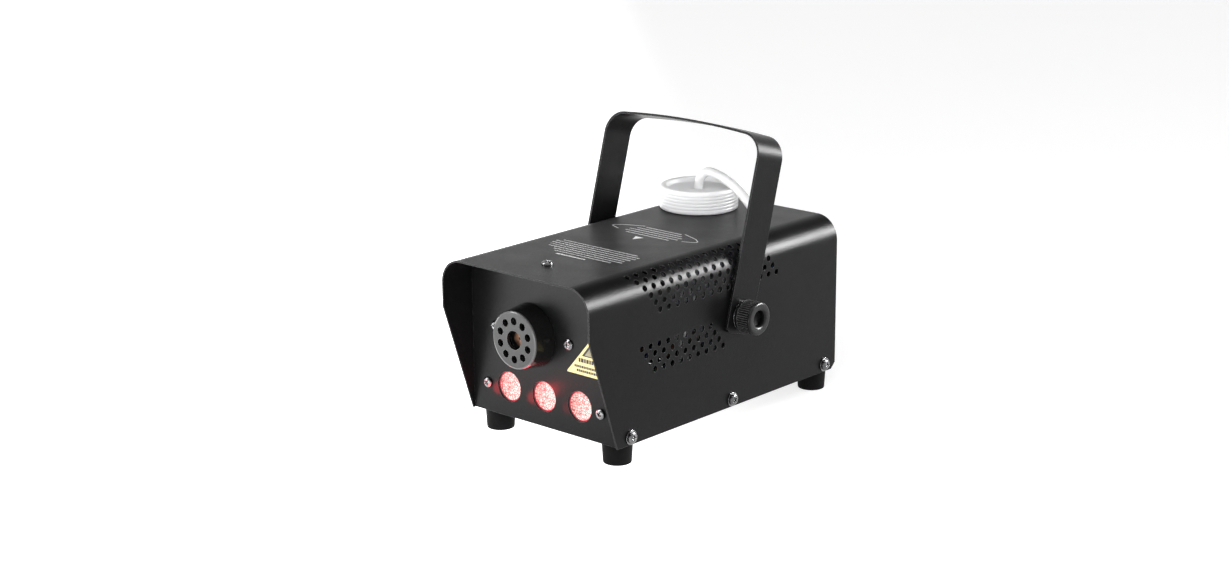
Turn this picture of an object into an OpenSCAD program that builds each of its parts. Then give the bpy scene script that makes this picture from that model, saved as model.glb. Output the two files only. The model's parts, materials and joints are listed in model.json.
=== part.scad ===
// Small fog machine: a vented sheet-metal hood over a folded chassis, with a heated nozzle
// and three lamps in front, a fluid bottle and pump inside, and a tilting carrying yoke.
// Frame: +Z up, front towards -Y, origin on the floor under the middle of the body.

/* [Hood] */
// Width across the hood's side sheets
hood_w = 124; // [120:1:128]
// Length of the hood's side sheets along their lower edge
hood_len = 217; // [216:1:222]
// How far the top of the hood reaches past the front panel
visor = 24; // [18:1:30]
// Height of the hood above its lower edge
hood_h = 103.6; // [102:0.2:106]
// Height on the side sheets where the visor's slanted edge starts
visor_kink = 72; // [60:1:80]
// Outer radius of the two long bends
bend_r = 16; // [14:1:18]
// Thickness of the hood and chassis sheet
sheet = 1; // [0.8:0.1:1.2]
// Clipped corner at the rear lower edge
rear_clip = 4; // [2:0.5:6]

/* [Vents] */
// Diameter of one vent hole
vent_d = 3.9; // [3:0.1:4.4]
// Distance between holes along a row
vent_pitch = 8.1; // [7.6:0.1:8.4]
// Distance between rows, measured along the sheet
vent_row = 5.1; // [4.8:0.1:5.2]
// Rows in the upper field, which runs over the bend
upper_rows = 6; // [4:1:6]
// Holes in each row of the upper field
upper_holes = 15; // [8:1:15]
// Rows in the lower field
lower_rows = 4; // [2:1:4]
// Holes in each row of the lower field
lower_holes = 9; // [4:1:9]

/* [Feet] */
// Height of a rubber foot below the hood's lower edge
foot_h = 13.6; // [12:0.2:16]
// Diameter of a foot at the floor
foot_d = 17.7; // [16:0.1:20]
// Diameter of a foot at the chassis
foot_top_d = 19.4; // [16:0.1:22]
// Distance of the feet from the middle plane
foot_x = 50; // [46:1:50]
// Distance of the feet from the chassis' front and rear ends
foot_y = 13; // [12:1:20]

/* [Nozzle] */
// Sideways place of the nozzle
nozzle_x = -8.9; // [-12:0.1:-4]
// Height of the nozzle above the hood's lower edge
nozzle_z = 58.2; // [56:0.1:60]
// How far the nozzle guard stands out of the front panel
guard_len = 16; // [14:0.5:18]
// Diameter of the guard at the panel
guard_d = 40.6; // [40:0.2:44]
// Diameter of the guard at its face
guard_face_d = 37; // [36:0.2:39]
// Number of holes in the guard's ring
guard_holes = 10; // [8:1:12]

/* [Lamps] */
// Distance between two lamps
lamp_gap = 30; // [28:1:30]
// Height of the lamps above the hood's lower edge
lamp_z = 20.2; // [19:0.1:21]
// Diameter of a lamp's lens
lamp_d = 19.2; // [18:0.2:19.4]
// Sideways place of the middle lamp
lamp_x = 0.4; // [-1:0.1:1]
// How far a lens sits behind the front of the panel
lamp_recess = 1.3; // [0:0.1:2]

/* [Yoke] */
// Width of the strap
strap_w = 24.7; // [24:0.1:26]
// Thickness of the strap
strap_t = 1.5; // [1.2:0.1:2]
// Height of the crossbar's top above the pivot
yoke_h = 115.7; // [115:0.1:122]
// Outer width across the two arms
yoke_w = 129.6; // [129.6:0.2:132]
// Outer radius of the crossbar's bends
yoke_bend = 15; // [12:0.5:18]
// Radius of the crossbar's slight crown
yoke_crown = 620; // [500:20:1400]
// Backward lean of the yoke at rest
yoke_lean = 15.9; // [0:0.1:30]
// Distance of the pivot behind the front panel
pivot_y = 114.2; // [113:0.1:115]
// Height of the pivot above the hood's lower edge
pivot_z = 59.8; // [58:0.1:60]

/* [Bottle] */
// Sideways place of the bottle's axis
bottle_x = -25.7; // [-27:0.1:-24]
// Distance of the bottle's axis behind the front panel
bottle_y = 179.7; // [178:0.1:180]
// Diameter of the bottle's body
bottle_d = 57; // [50:0.5:58]
// Diameter of the screw cap
cap_d = 52.8; // [52:0.1:54]
// Height of the screw cap above the hood
cap_h = 15.7; // [15.4:0.1:18]

/* [Rear panel] */
// How far the rear panel sits inside the hood's rear edge
rear_recess = 6; // [5:0.5:8]
// Sideways place of the mains inlet and the power switch
mains_x = 28; // [26:1:30]
// Height of the mains inlet's middle above the hood's lower edge
inlet_z = 32; // [30:1:34]
// Height of the power switch above the hood's lower edge
switch_z = 75; // [72:1:80]

/* [Hidden] */
$fn = 48;

// Colours
c_black = [0.16, 0.16, 0.17];
c_knob = [0.09, 0.09, 0.10];
c_rubber = [0.08, 0.08, 0.08];
c_steel = [0.62, 0.63, 0.65];
c_dark_steel = [0.20, 0.20, 0.21];
c_alu = [0.76, 0.77, 0.78];
c_brass = [0.78, 0.62, 0.30];
c_copper = [0.72, 0.42, 0.24];
c_milk = [0.93, 0.93, 0.92];
c_lens = [1.00, 0.62, 0.66];
c_yellow = [0.98, 0.86, 0.12];
c_board = [0.10, 0.36, 0.18];
c_fibre = [0.86, 0.82, 0.70];
c_plastic = [0.12, 0.12, 0.13];

// Frame
z_base = foot_h;
body_len = hood_len + visor;
y_visor = -body_len / 2;
y_panel = y_visor + visor;
y_rear = body_len / 2;
inner_w = hood_w - 2 * sheet;
hood_top = z_base + hood_h;
fit = 0.2;
gap = 0.3;

// Chassis
floor_lift = 0.6;
floor_bottom = z_base + floor_lift;
floor_top = floor_bottom + sheet;
panel_front = y_panel + 0.8;
panel_back = panel_front + sheet;
rear_face = y_rear - rear_recess;
rear_inside = rear_face - sheet;
chassis_w = inner_w - 2 * fit;
chassis_top = hood_top - sheet - fit;
flange_h = 13;
flange_y = 12;

// Screws
screw_r = 1.5;
side_screw_y = [12, pivot_y - 5.7, 205];
side_screw_z = 5;
top_screw_y = 6;
panel_screw_x = 48;
panel_screw_z = 19.5;
heater_screw_x = 31;

// Yoke and knobs
pivot = [0, y_panel + pivot_y, z_base + pivot_z];
arm_out = yoke_w / 2;
arm_in = arm_out - strap_t;
arm_drop = 12;
arm_corner = 5;
stud_r = 3;
washer_x = arm_out + gap;
washer_t = 1;
knob_x = washer_x + washer_t + gap;
knob_collar_end = knob_x + 1.9;
knob_face = knob_collar_end + 11;
knob_r = 10.5;
collar_r = 10;
knob_grooves = 40;
stud_tip = 52;

// Bottle
bottle_axis = [bottle_x, y_panel + bottle_y];
neck_r = 22.6;
thread_r = 24;
neck_hole_r = thread_r + 0.6;
bottle_wall = 1.4;
bottle_floor = floor_top + 2;
shoulder_z = hood_top - 22;
neck_top = hood_top + 9;
cap_floor = hood_top + 10.8;
cap_dish = cap_floor + 1.8;
rib_depth = 0.35;
bush_hole_r = 5;
hose_r = 3.1;
grommet_r = hose_r + 0.2;

// Hose: route points, chosen by hand, from the bottle's floor to the pump
hose_entry = [31.6, 72.5];
HOSE = [
  [-25.7, 83.2, 26], [-25.7, 83.2, 62], [-25.7, 83.2, 98], [-25.7, 83.2, 126], [-25.5, 83.2, 134],
  [-21.7, 82.5, 140], [-14.3, 81.1, 143.1], [-0.9, 78.6, 141.5], [12.2, 76.2, 136.7],
  [23.8, 74, 129.7], [29.6, 72.9, 124.3], [31.6, 72.5, 117.5], [31.5, 72.5, 108], [30.8, 73, 96],
  [30, 75, 80], [29.5, 77.5, 62], [29.8, 77.5, 50], [30, 75, 43.8], [30, 71, 41.6], [30, 66, 41.6]
];
// Feed tube: from the pump's outlet up and round to the heater's rear fitting
FEED = [
  [30, 9, 41.6], [30.5, 2, 42], [35, -7, 47], [40, -10, 58], [39, -4, 68], [33, 9, 76],
  [20, 21, 78], [4, 26, 77], [-6, 23, 73.5], [-8.9, 17, 71.8], [-8.9, 11, 71.8]
];

// Heater
heater_y = [y_panel + 17, y_panel + 101];
heater_mid = [nozzle_x, z_base + nozzle_z];
block_w = 48;
block_h = 26;
sleeve_t = 3;

// Lamps
lamps_z = z_base + lamp_z;
lamp_board_y = y_panel + 15;

// Pump
pump_x = 30;
pump_z = 41.6;
pump_y = [y_panel + 112, y_panel + 148];
core_r = 7;
plunger_r = 4.6;

// Control board
board_z = floor_top + 6;
board_t = 1.6;
board_y = [y_panel + 30, y_panel + 96];
board_x = [-46, 46];

// Rear panel parts
inlet_mid = [mains_x, z_base + inlet_z];
switch_mid = [mains_x, z_base + switch_z];

// ---------- helpers ----------

// Box from its ranges along X, Y and Z
module box(x, y, z)
  translate([x[0], y[0], z[0]]) cube([x[1] - x[0], y[1] - y[0], z[1] - z[0]]);

module rod_x(r, x, y, z)
  translate([x[0], y, z]) rotate([0, 90, 0]) cylinder(r = r, h = x[1] - x[0]);

module rod_y(r, x, y, z)
  translate([x, y[0], z]) rotate([-90, 0, 0]) cylinder(r = r, h = y[1] - y[0]);

module rod_z(r, x, y, z)
  translate([x, y, z[0]]) cylinder(r = r, h = z[1] - z[0]);

// Extrudes a drawing of X and Z along Y
module along_y(y)
  translate([0, y[1], 0]) rotate([90, 0, 0]) linear_extrude(y[1] - y[0]) children();

// Extrudes a drawing of Y and Z along X
module along_x(x)
  translate([x[0], 0, 0]) rotate([90, 0, 90]) linear_extrude(x[1] - x[0]) children();

module both_sides() {
  children();
  mirror([1, 0, 0]) children();
}

// Arch with a flat top and two round corners, standing on the X axis
module arch(w, h, r) {
  translate([-w / 2, 0]) square([w, h - r]);
  translate([r - w / 2, 0]) square([w - 2 * r, h]);
  for (s = [-1, 1])
    translate([s * (w / 2 - r), h - r]) circle(r = r, $fn = 96);
}

// Rectangle with round corners, from its middle
module round_rect(w, h, r) {
  square([w, h - 2 * r], center = true);
  square([w - 2 * r, h], center = true);
  for (sx = [-1, 1], sy = [-1, 1])
    translate([sx * (w / 2 - r), sy * (h / 2 - r)]) circle(r = r);
}

// Pan-head screw with a cross recess: the underside of its head is at z = 0, its shaft goes down
module screw(head_r, head_h, shaft_r, shaft_len) {
  difference() {
    union() {
      cylinder(r = head_r, h = head_h * 0.45);
      translate([0, 0, head_h * 0.45]) cylinder(r1 = head_r, r2 = head_r * 0.62, h = head_h * 0.55);
    }
    for (a = [0, 90])
      rotate(a) translate([-head_r * 0.55, -0.45, head_h * 0.4]) cube([head_r * 1.1, 0.9, head_h]);
  }
  translate([0, 0, -shaft_len]) cylinder(r = shaft_r, h = shaft_len);
}

module ring(r_out, r_in, h)
  difference() {
    cylinder(r = r_out, h = h);
    translate([0, 0, -1]) cylinder(r = r_in, h = h + 2);
  }

// Point at parameter t on the smooth curve through four neighbouring points
function blend(a, b, c, d, t) =
  0.5 * (2 * b + (c - a) * t + (2 * a - 5 * b + 4 * c - d) * t * t + (3 * b - a - 3 * c + d) * t * t * t);

function smooth(p, n) = [
  for (i = [0:len(p) - 2], k = [0:n - 1])
    blend(p[max(i - 1, 0)], p[i], p[i + 1], p[min(i + 2, len(p) - 1)], k / n),
  p[len(p) - 1]
];

function unit(v) = v / norm(v);

function tangents(p) = [
  for (i = [0:len(p) - 1]) unit(p[min(i + 1, len(p) - 1)] - p[max(i - 1, 0)])
];

// Carries a side vector along the tangents without twisting
function carried(t, n, i) =
  i == len(t) ? [] : let (u = unit(n - (n * t[i]) * t[i])) concat([u], carried(t, u, i + 1));

// Round tube along a list of points
module tube(points, r, sides) {
  t = tangents(points);
  n = carried(t, abs(t[0][0]) > 0.9 ? [0, 1, 0] : [1, 0, 0], 0);
  last = len(points) - 1;
  rim = [
    for (i = [0:last], k = [0:sides - 1])
      points[i] + r * (cos(k * 360 / sides) * n[i] + sin(k * 360 / sides) * cross(t[i], n[i]))
  ];
  walls = [
    for (i = [0:last - 1], k = [0:sides - 1])
      let (a = i * sides + k, b = i * sides + (k + 1) % sides)
        each [[a, a + sides, b], [b, a + sides, b + sides]]
  ];
  start_cap = [for (k = [0:sides - 1]) k];
  end_cap = [for (k = [sides - 1:-1:0]) last * sides + k];
  polyhedron(points = rim, faces = concat(walls, [start_cap, end_cap]));
}

// ---------- hood ----------

module side_outline()
  polygon([
    [y_rear, rear_clip], [y_rear, hood_h], [y_visor, hood_h],
    [y_visor, visor_kink], [y_panel, 0], [y_rear - rear_clip, 0]
  ]);

// One row of holes through both side sheets, at a height measured along the sheet
module vent_line(along, first_y, count) {
  bend_start = hood_h - bend_r;
  turn = max(0, along - bend_start) / bend_r * 180 / PI;
  for (i = [0:count - 1])
    both_sides()
      translate([hood_w / 2 - bend_r, y_panel + first_y + i * vent_pitch, min(along, bend_start)])
        rotate([0, 90 - turn, 0])
          translate([0, 0, bend_r - 3]) cylinder(d = vent_d, h = 6, $fn = 24);
}

module vents() {
  for (k = [0:upper_rows - 1])
    vent_line(79.7 + k * vent_row, 39.3 - k * vent_pitch / 2, upper_holes);
  for (k = [0:lower_rows - 1])
    vent_line(58.1 - k * vent_row, 22.4 + k * vent_pitch / 2, lower_holes);
}

module hood()
  color(c_black) translate([0, 0, z_base])
    difference() {
      intersection() {
        along_y([y_visor, y_rear])
          difference() {
            arch(hood_w, hood_h, bend_r);
            translate([0, -1]) arch(inner_w, hood_h - sheet + 1, bend_r - sheet);
          }
        along_x([-hood_w, hood_w]) side_outline();
      }
      vents();
      for (y = side_screw_y)
        rod_x(2, [-hood_w, hood_w], y_panel + y, side_screw_z);
      rod_x(4.5, [-hood_w, hood_w], pivot[1], pivot_z);
      rod_z(2, 0, y_panel + top_screw_y, [hood_h - 5, hood_h + 5]);
      translate([0, 0, hood_h - 5]) {
        rod_z(neck_hole_r, bottle_axis[0], bottle_axis[1], [0, 10]);
        rod_z(5, hose_entry[0], hose_entry[1], [0, 10]);
      }
    }

module hood_screws()
  color(c_dark_steel) {
    both_sides()
      for (y = side_screw_y)
        translate([hood_w / 2 + 0.8, y_panel + y, z_base + side_screw_z])
          rotate([0, 90, 0]) screw(3.6, 2.2, screw_r, 7);
    translate([0, y_panel + top_screw_y, hood_top]) screw(3.6, 2.2, screw_r, 7);
  }

module hood_screw_washers()
  color(c_steel)
    both_sides()
      for (y = side_screw_y)
        translate([hood_w / 2, y_panel + y, z_base + side_screw_z])
          rotate([0, 90, 0]) ring(4.6, 2, 0.8);

// ---------- chassis ----------

// Upright end panel that fits under the hood
module end_panel(y) {
  r = bend_r - sheet - fit;
  translate([0, 0, floor_bottom]) along_y(y) arch(chassis_w, chassis_top - floor_bottom, r);
}

module chassis()
  color(c_black)
    difference() {
      union() {
        box([-chassis_w / 2, chassis_w / 2], [panel_front, rear_face], [floor_bottom, floor_top]);
        end_panel([panel_front, panel_back]);
        end_panel([rear_inside, rear_face]);
        both_sides()
          box([chassis_w / 2 - sheet, chassis_w / 2], [y_panel + 4, rear_inside - 2],
              [floor_bottom, floor_bottom + flange_h]);
        box([-40, 40], [panel_front, panel_front + flange_y], [chassis_top - sheet, chassis_top]);
      }
      for (y = side_screw_y)
        rod_x(screw_r + 0.02, [-hood_w, hood_w], y_panel + y, z_base + side_screw_z);
      rod_z(screw_r + 0.02, 0, y_panel + top_screw_y, [chassis_top - 5, chassis_top + 5]);
      front_cuts([y_panel - 5, y_panel + 5]);
      rear_cuts([rear_inside - 5, rear_face + 5]);
      feet_places() rod_z(1.7, 0, 0, [floor_bottom - 5, floor_top + 5]);
      for (x = [-1, 0, 1], y = [0:4])
        box([x * 30 - 8, x * 30 + 8], [y * 12 + 6, y * 12 + 9], [floor_bottom - 1, floor_top + 1]);
    }

module front_cuts(y) {
  for (k = [-1:1])
    rod_y(lamp_d / 2 + 0.2, lamp_x + k * lamp_gap, y, lamps_z);
  for (s = [-1, 1]) {
    rod_y(1.8, s * panel_screw_x, y, z_base + panel_screw_z);
    rod_y(2.2, nozzle_x + s * heater_screw_x, y, heater_mid[1]);
  }
  rod_y(14, nozzle_x, y, heater_mid[1]);
}

module rear_cuts(y) {
  translate([inlet_mid[0], 0, inlet_mid[1]]) along_y(y) round_rect(28.4, 30.4, 2);
  translate([switch_mid[0], 0, switch_mid[1]]) along_y(y) square([19.4, 13.2], center = true);
  for (s = [-1, 1])
    rod_y(1.6, inlet_mid[0] + s * 20, y, inlet_mid[1]);
}

// ---------- feet ----------

module feet_places()
  for (x = [-1, 1], y = [y_panel + foot_y, rear_face - foot_y + 9])
    translate([x * foot_x, y, 0]) children();

module foot(x, y)
  color(c_rubber) translate([x * foot_x, y < 0 ? y_panel + foot_y : rear_face - foot_y + 9, 0])
    difference() {
      cylinder(d1 = foot_d, d2 = foot_top_d, h = floor_bottom);
      translate([0, 0, -1]) cylinder(r = 5, h = 7);
      translate([0, 0, -1]) cylinder(r = 1.7, h = floor_bottom + 2);
    }

module foot_screws()
  color(c_steel) feet_places() {
    translate([0, 0, 6]) rotate([180, 0, 0]) screw(3.8, 2.4, screw_r, 15);
    translate([0, 0, floor_top]) difference() {
      cylinder(r = 3.2, h = 2.4, $fn = 6);
      translate([0, 0, -1]) cylinder(r = screw_r, h = 5);
    }
  }

// ---------- yoke ----------

// Strap outline in X and Z from the pivot, at a depth inside its outer face
module strap_outline(depth, bottom) {
  r = yoke_bend - depth;
  big = yoke_crown - depth;
  corner_x = arm_out - yoke_bend;
  corner_z = yoke_h - yoke_crown + sqrt(pow(yoke_crown - yoke_bend, 2) - pow(corner_x, 2));
  touch_x = corner_x * yoke_crown / (yoke_crown - yoke_bend);
  translate([depth - arm_out, bottom]) square([2 * (arm_out - depth), corner_z - bottom]);
  for (s = [-1, 1])
    translate([s * corner_x, corner_z]) circle(r = r, $fn = 96);
  intersection() {
    translate([-touch_x, corner_z - 1]) square([2 * touch_x, yoke_h]);
    translate([0, yoke_h - yoke_crown]) circle(r = big, $fn = 720);
  }
}

// Width outline in Y and Z from the pivot, with round lower corners
module strap_width() {
  translate([-strap_w / 2, arm_corner - arm_drop]) square([strap_w, yoke_h + arm_drop]);
  translate([arm_corner - strap_w / 2, -arm_drop]) square([strap_w - 2 * arm_corner, 2 * arm_corner]);
  for (s = [-1, 1])
    translate([s * (strap_w / 2 - arm_corner), arm_corner - arm_drop]) circle(r = arm_corner);
}

module yoke()
  color(c_black) translate(pivot) rotate([-yoke_lean, 0, 0])
    difference() {
      intersection() {
        along_y([-strap_w / 2, strap_w / 2])
          difference() {
            strap_outline(0, -arm_drop);
            strap_outline(strap_t, -arm_drop - 1);
          }
        along_x([-yoke_w, yoke_w]) strap_width();
      }
      rod_x(stud_r + 0.4, [-yoke_w, yoke_w], 0, 0);
    }

module yoke_spacers()
  color(c_rubber)
    both_sides()
      translate([hood_w / 2 + gap, pivot[1], pivot[2]])
        rotate([0, 90, 0]) ring(9.5, 6.2, arm_in - hood_w / 2 - gap);

module rivet_nuts()
  color(c_steel)
    both_sides()
      translate([0, pivot[1], pivot[2]])
        difference() {
          union() {
            rod_x(4.45, [50, hood_w / 2], 0, 0);
            rod_x(5.6, [hood_w / 2, hood_w / 2 + 0.5], 0, 0);
            rod_x(5.6, [hood_w / 2 - sheet - 3, hood_w / 2 - sheet], 0, 0);
          }
          rod_x(stud_r + 0.05, [49, hood_w / 2 + 1], 0, 0);
        }

module knob_washer()
  color(c_dark_steel)
    translate([washer_x, pivot[1], pivot[2]]) rotate([0, 90, 0]) ring(collar_r - 0.4, stud_r + 0.4, washer_t);

// Turned clamping knob with straight grooves and a dished end
module knob()
  color(c_knob)
    translate([knob_x, pivot[1], pivot[2]]) rotate([0, 90, 0])
      difference() {
        rotate_extrude($fn = 96)
          polygon([
            [stud_r, 0], [collar_r - 0.4, 0], [collar_r, 0.4], [collar_r, knob_collar_end - knob_x],
            [knob_r - 0.5, knob_collar_end - knob_x], [knob_r, knob_collar_end - knob_x + 0.6],
            [knob_r, knob_face - knob_x - 1.2], [knob_r - 1, knob_face - knob_x],
            [6.5, knob_face - knob_x], [5.5, knob_face - knob_x - 1.4], [0, knob_face - knob_x - 1.4],
            [0, knob_face - knob_x - 4], [stud_r, knob_face - knob_x - 4]
          ]);
        for (i = [0:knob_grooves - 1])
          rotate(i * 360 / knob_grooves)
            translate([knob_r + 0.2, 0, knob_collar_end - knob_x - 0.5])
              cylinder(r = 0.55, h = knob_face - knob_collar_end - 1, $fn = 16);
      }

module stud()
  color(c_steel) rod_x(stud_r, [stud_tip, knob_face - 4], pivot[1], pivot[2]);

// ---------- bottle and hose ----------

module bottle()
  color(c_milk) translate([bottle_axis[0], bottle_axis[1], 0])
    rotate_extrude($fn = 96)
      polygon([
        [0, bottle_floor], [bottle_d / 2 - 3, bottle_floor], [bottle_d / 2, bottle_floor + 3],
        [bottle_d / 2, shoulder_z], [neck_r, hood_top - 8], [neck_r, hood_top + 1.5],
        [thread_r, hood_top + 2], [thread_r, hood_top + 3], [neck_r, hood_top + 3.5],
        [neck_r, hood_top + 5], [thread_r, hood_top + 5.5], [thread_r, hood_top + 6.5],
        [neck_r, hood_top + 7], [neck_r, neck_top], [neck_r - bottle_wall, neck_top],
        [neck_r - bottle_wall, hood_top - 8], [bottle_d / 2 - bottle_wall, shoulder_z],
        [bottle_d / 2 - bottle_wall, bottle_floor + 4],
        [bottle_d / 2 - 4, bottle_floor + bottle_wall], [0, bottle_floor + bottle_wall]
      ]);

module bottle_tray()
  color(c_black) translate([bottle_axis[0], bottle_axis[1], floor_top])
    difference() {
      cylinder(r = bottle_d / 2 + 1.5, h = 14);
      translate([0, 0, 2]) cylinder(r = bottle_d / 2 + 0.4, h = 20);
      for (a = [45:90:315])
        rotate(a) translate([bottle_d / 2 - 6, -6, 5]) cube([20, 12, 20]);
    }

// Ribbed screw cap with a sunk top
module bottle_cap() {
  ribs = 6;
  rib = (cap_h - 2) / ribs;
  out = cap_d / 2;
  top = cap_h - gap;
  dish = cap_dish - hood_top - gap;
  color(c_milk) translate([bottle_axis[0], bottle_axis[1], hood_top + gap])
    rotate_extrude($fn = 96)
      polygon(concat(
        [[thread_r + 0.4, 0], [out - rib_depth, 0]],
        [for (i = [0:ribs - 1], q = [[0.1, 1], [0.3, 0], [0.7, 0], [0.9, 1]])
          [out - q[1] * rib_depth, 0.5 + (i + q[0]) * rib]],
        [
          [out - 0.5, top - 0.9], [out - 1.5, top], [out - 4, top], [out - 5, top - 0.8],
          [out - 5.8, dish], [bush_hole_r, dish],
          [bush_hole_r, cap_floor - hood_top - gap], [thread_r + 0.4, cap_floor - hood_top - gap]
        ]
      ));
}

// Bushing that carries the hose through the cap, flush with the cap's sunk top
module cap_bushing()
  color(c_milk) translate([bottle_axis[0], bottle_axis[1], 0])
    rotate_extrude()
      polygon([
        [hose_r + 0.1, cap_floor - 1], [7, cap_floor - 2.2], [7, cap_floor - 0.4],
        [bush_hole_r - 0.1, cap_floor - 0.4], [bush_hole_r - 0.1, cap_dish - 0.2],
        [bush_hole_r - 0.3, cap_dish], [hose_r + 0.1, cap_dish]
      ]);

module hose_grommet()
  color(c_rubber) translate([hose_entry[0], hose_entry[1], hood_top - sheet])
    rotate_extrude()
      polygon([
        [grommet_r, -1.6], [6.6, -1.6], [7, -0.9], [7, 0], [4.9, 0], [4.9, sheet], [7, sheet],
        [7, sheet + 0.9], [6.2, sheet + 1.7], [grommet_r + 0.6, sheet + 1.7], [grommet_r, sheet + 1.1]
      ]);

module supply_hose()
  color(c_milk) tube(smooth(HOSE, 4), hose_r, 10);

// Weighted strainer on the hose's lower end, with three grooves
module hose_filter()
  color(c_brass) translate([bottle_axis[0], bottle_axis[1], bottle_floor + bottle_wall])
    rotate_extrude()
      polygon(concat(
        [[0, 0], [3.9, 0], [4.5, 0.6]],
        [for (i = [0:2], q = [[4.5, 0], [3.8, 0.3], [3.8, 1.2], [4.5, 1.5]]) [q[0], 2 + i * 2.6 + q[1]]],
        [[4.5, 11.4], [3.9, 12], [hose_r + 0.02, 12], [hose_r + 0.02, 3], [0, 3]]
      ));

// ---------- nozzle and heater ----------

module nozzle_guard()
  color(c_knob) translate([nozzle_x, panel_front, heater_mid[1]]) rotate([90, 0, 0])
    difference() {
      rotate_extrude($fn = 96)
        polygon([
          [11.5, -9], [13.5, -9], [13.5, 0], [guard_d / 2 - 0.4, 0], [guard_d / 2, 0.5],
          [guard_face_d / 2, guard_len - 1.2], [guard_face_d / 2 - 0.35, guard_len - 0.35],
          [guard_face_d / 2 - 1.2, guard_len], [0, guard_len], [0, guard_len - 2],
          [guard_face_d / 2 - 2, guard_len - 2], [guard_d / 2 - 2.6, 1.6], [11.5, 1.6]
        ]);
      translate([0, 0, guard_len - 5]) cylinder(r = 6, h = 10);
      for (i = [0:guard_holes - 1])
        rotate(90 + i * 360 / guard_holes) translate([12.15, 0, guard_len - 5]) cylinder(r = 2.5, h = 10);
    }

module guard_ring_nut()
  color(c_steel) translate([nozzle_x, panel_back + 0.05, heater_mid[1]]) rotate([-90, 0, 0])
    difference() {
      cylinder(r = 18, h = 4, $fn = 64);
      translate([0, 0, -1]) cylinder(r = 13.55, h = 6);
      for (a = [0:60:300])
        rotate(a) translate([18, 0, -1]) cylinder(r = 2, h = 6, $fn = 24);
    }

module nozzle_tube()
  color(c_copper) translate([nozzle_x, 0, heater_mid[1]])
    difference() {
      union() {
        rod_y(4, 0, [panel_front - guard_len + 7, heater_y[0]], 0);
        rod_y(5, 0, [panel_front - guard_len + 5.5, panel_front - guard_len + 11], 0);
      }
      rod_y(1, 0, [y_visor, heater_y[0] - 3], 0);
      rod_y(2.5, 0, [panel_front - guard_len + 12, heater_y[0] + 1], 0);
    }

module heater_block()
  color(c_alu)
    difference() {
      translate([heater_mid[0], 0, heater_mid[1]]) {
        for (s = [[-block_h / 2, -0.1], [0.1, block_h / 2]])
          box([-block_w / 2, block_w / 2], heater_y, s);
        for (sx = [-1, 1], y = [heater_y[0] + 10, heater_y[1] - 10])
          rod_z(2.5, sx * (block_w / 2 - 5), y, [-block_h / 2, block_h / 2 - 0.5]);
        for (sx = [-1, 1])
          rod_y(3, sx * 12, [heater_y[1] - 2, heater_y[1] + 12], 0);
        rod_y(3.2, 0, [heater_y[1] - 2, heater_y[1] + 6.2], 0);
      }
      translate([heater_mid[0], 0, heater_mid[1]])
        rod_y(2.05, 0, [heater_y[1] + 1, heater_y[1] + 20], 0);
    }

module heater_sleeve() {
  w = block_w + 2 * sleeve_t + 0.6;
  h = block_h + 2 * sleeve_t + 0.6;
  color(c_fibre) translate([heater_mid[0], 0, heater_mid[1]])
    difference() {
      along_y([heater_y[0] + 1, heater_y[1] - 1]) round_rect(w, h, 4);
      along_y([heater_y[0] - 1, heater_y[1] + 1]) square([block_w + 0.6, block_h + 0.6], center = true);
      rod_z(9, 0, (heater_y[0] + heater_y[1]) / 2, [0, h]);
    }
}

module heater_bracket()
  color(c_steel) translate([heater_mid[0], 0, heater_mid[1]])
    difference() {
      union() {
        box([-38, 38], [heater_y[0] - 4.2, heater_y[0] - 2.7], [-11, 11]);
        for (s = [-1, 1])
          box([-20, 20], [heater_y[0] - 4.2, heater_y[0] - 0.1], [s * 10.25 - 0.75, s * 10.25 + 0.75]);
      }
      rod_y(7, 0, [heater_y[0] - 9, heater_y[0] + 3], 0);
      for (s = [-1, 1])
        rod_y(1.9, s * heater_screw_x, [heater_y[0] - 9, heater_y[0] + 3], 0);
    }

module heater_standoffs()
  color(c_brass) for (s = [-1, 1])
    difference() {
      rod_y(3.6, heater_mid[0] + s * heater_screw_x, [panel_back, heater_y[0] - 4.2], heater_mid[1]);
      rod_y(screw_r, heater_mid[0] + s * heater_screw_x, [panel_back - 1, heater_y[0]], heater_mid[1]);
    }

module heater_screws()
  color(c_dark_steel) for (s = [-1, 1]) translate([heater_mid[0] + s * heater_screw_x, 0, heater_mid[1]]) {
    translate([0, panel_front, 0]) rotate([90, 0, 0]) screw(3.4, 2.1, screw_r, 5);
    translate([0, heater_y[0] - 2.7, 0]) rotate([-90, 0, 0]) screw(3, 2, screw_r, 5);
  }

module thermostat()
  color(c_steel) translate([heater_mid[0], (heater_y[0] + heater_y[1]) / 2, heater_mid[1] + block_h / 2]) {
    cylinder(r = 8, h = 5);
    translate([0, 0, 5]) cylinder(r = 6.4, h = 3.4);
    for (s = [-1, 1])
      translate([s * 5 - 0.4, -3, 8.4]) cube([0.8, 6, 6]);
  }

module feed_tube()
  color(c_milk) tube(smooth(FEED, 4), 2, 8);

// ---------- lamps ----------

module lamp_lens(k)
  color(c_lens) translate([lamp_x + k * lamp_gap, panel_front + lamp_recess, lamps_z]) rotate([90, 0, 0])
    rotate_extrude($fn = 96)
      polygon([
        [0, -11.3], [4, -11.3], [lamp_d / 2 - 0.1, -4.2], [lamp_d / 2, -4],
        [lamp_d / 2, -0.5], [lamp_d / 2 - 0.5, 0], [0, 0]
      ]);

module lamp_holders()
  color(c_plastic) for (k = [-1:1])
    translate([lamp_x + k * lamp_gap, panel_back + 0.02, lamps_z]) rotate([-90, 0, 0])
      difference() {
        cylinder(r = 11.4, h = 11.6);
        translate([0, 0, -1]) cylinder(r = lamp_d / 2 + 0.05, h = 20);
      }

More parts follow.
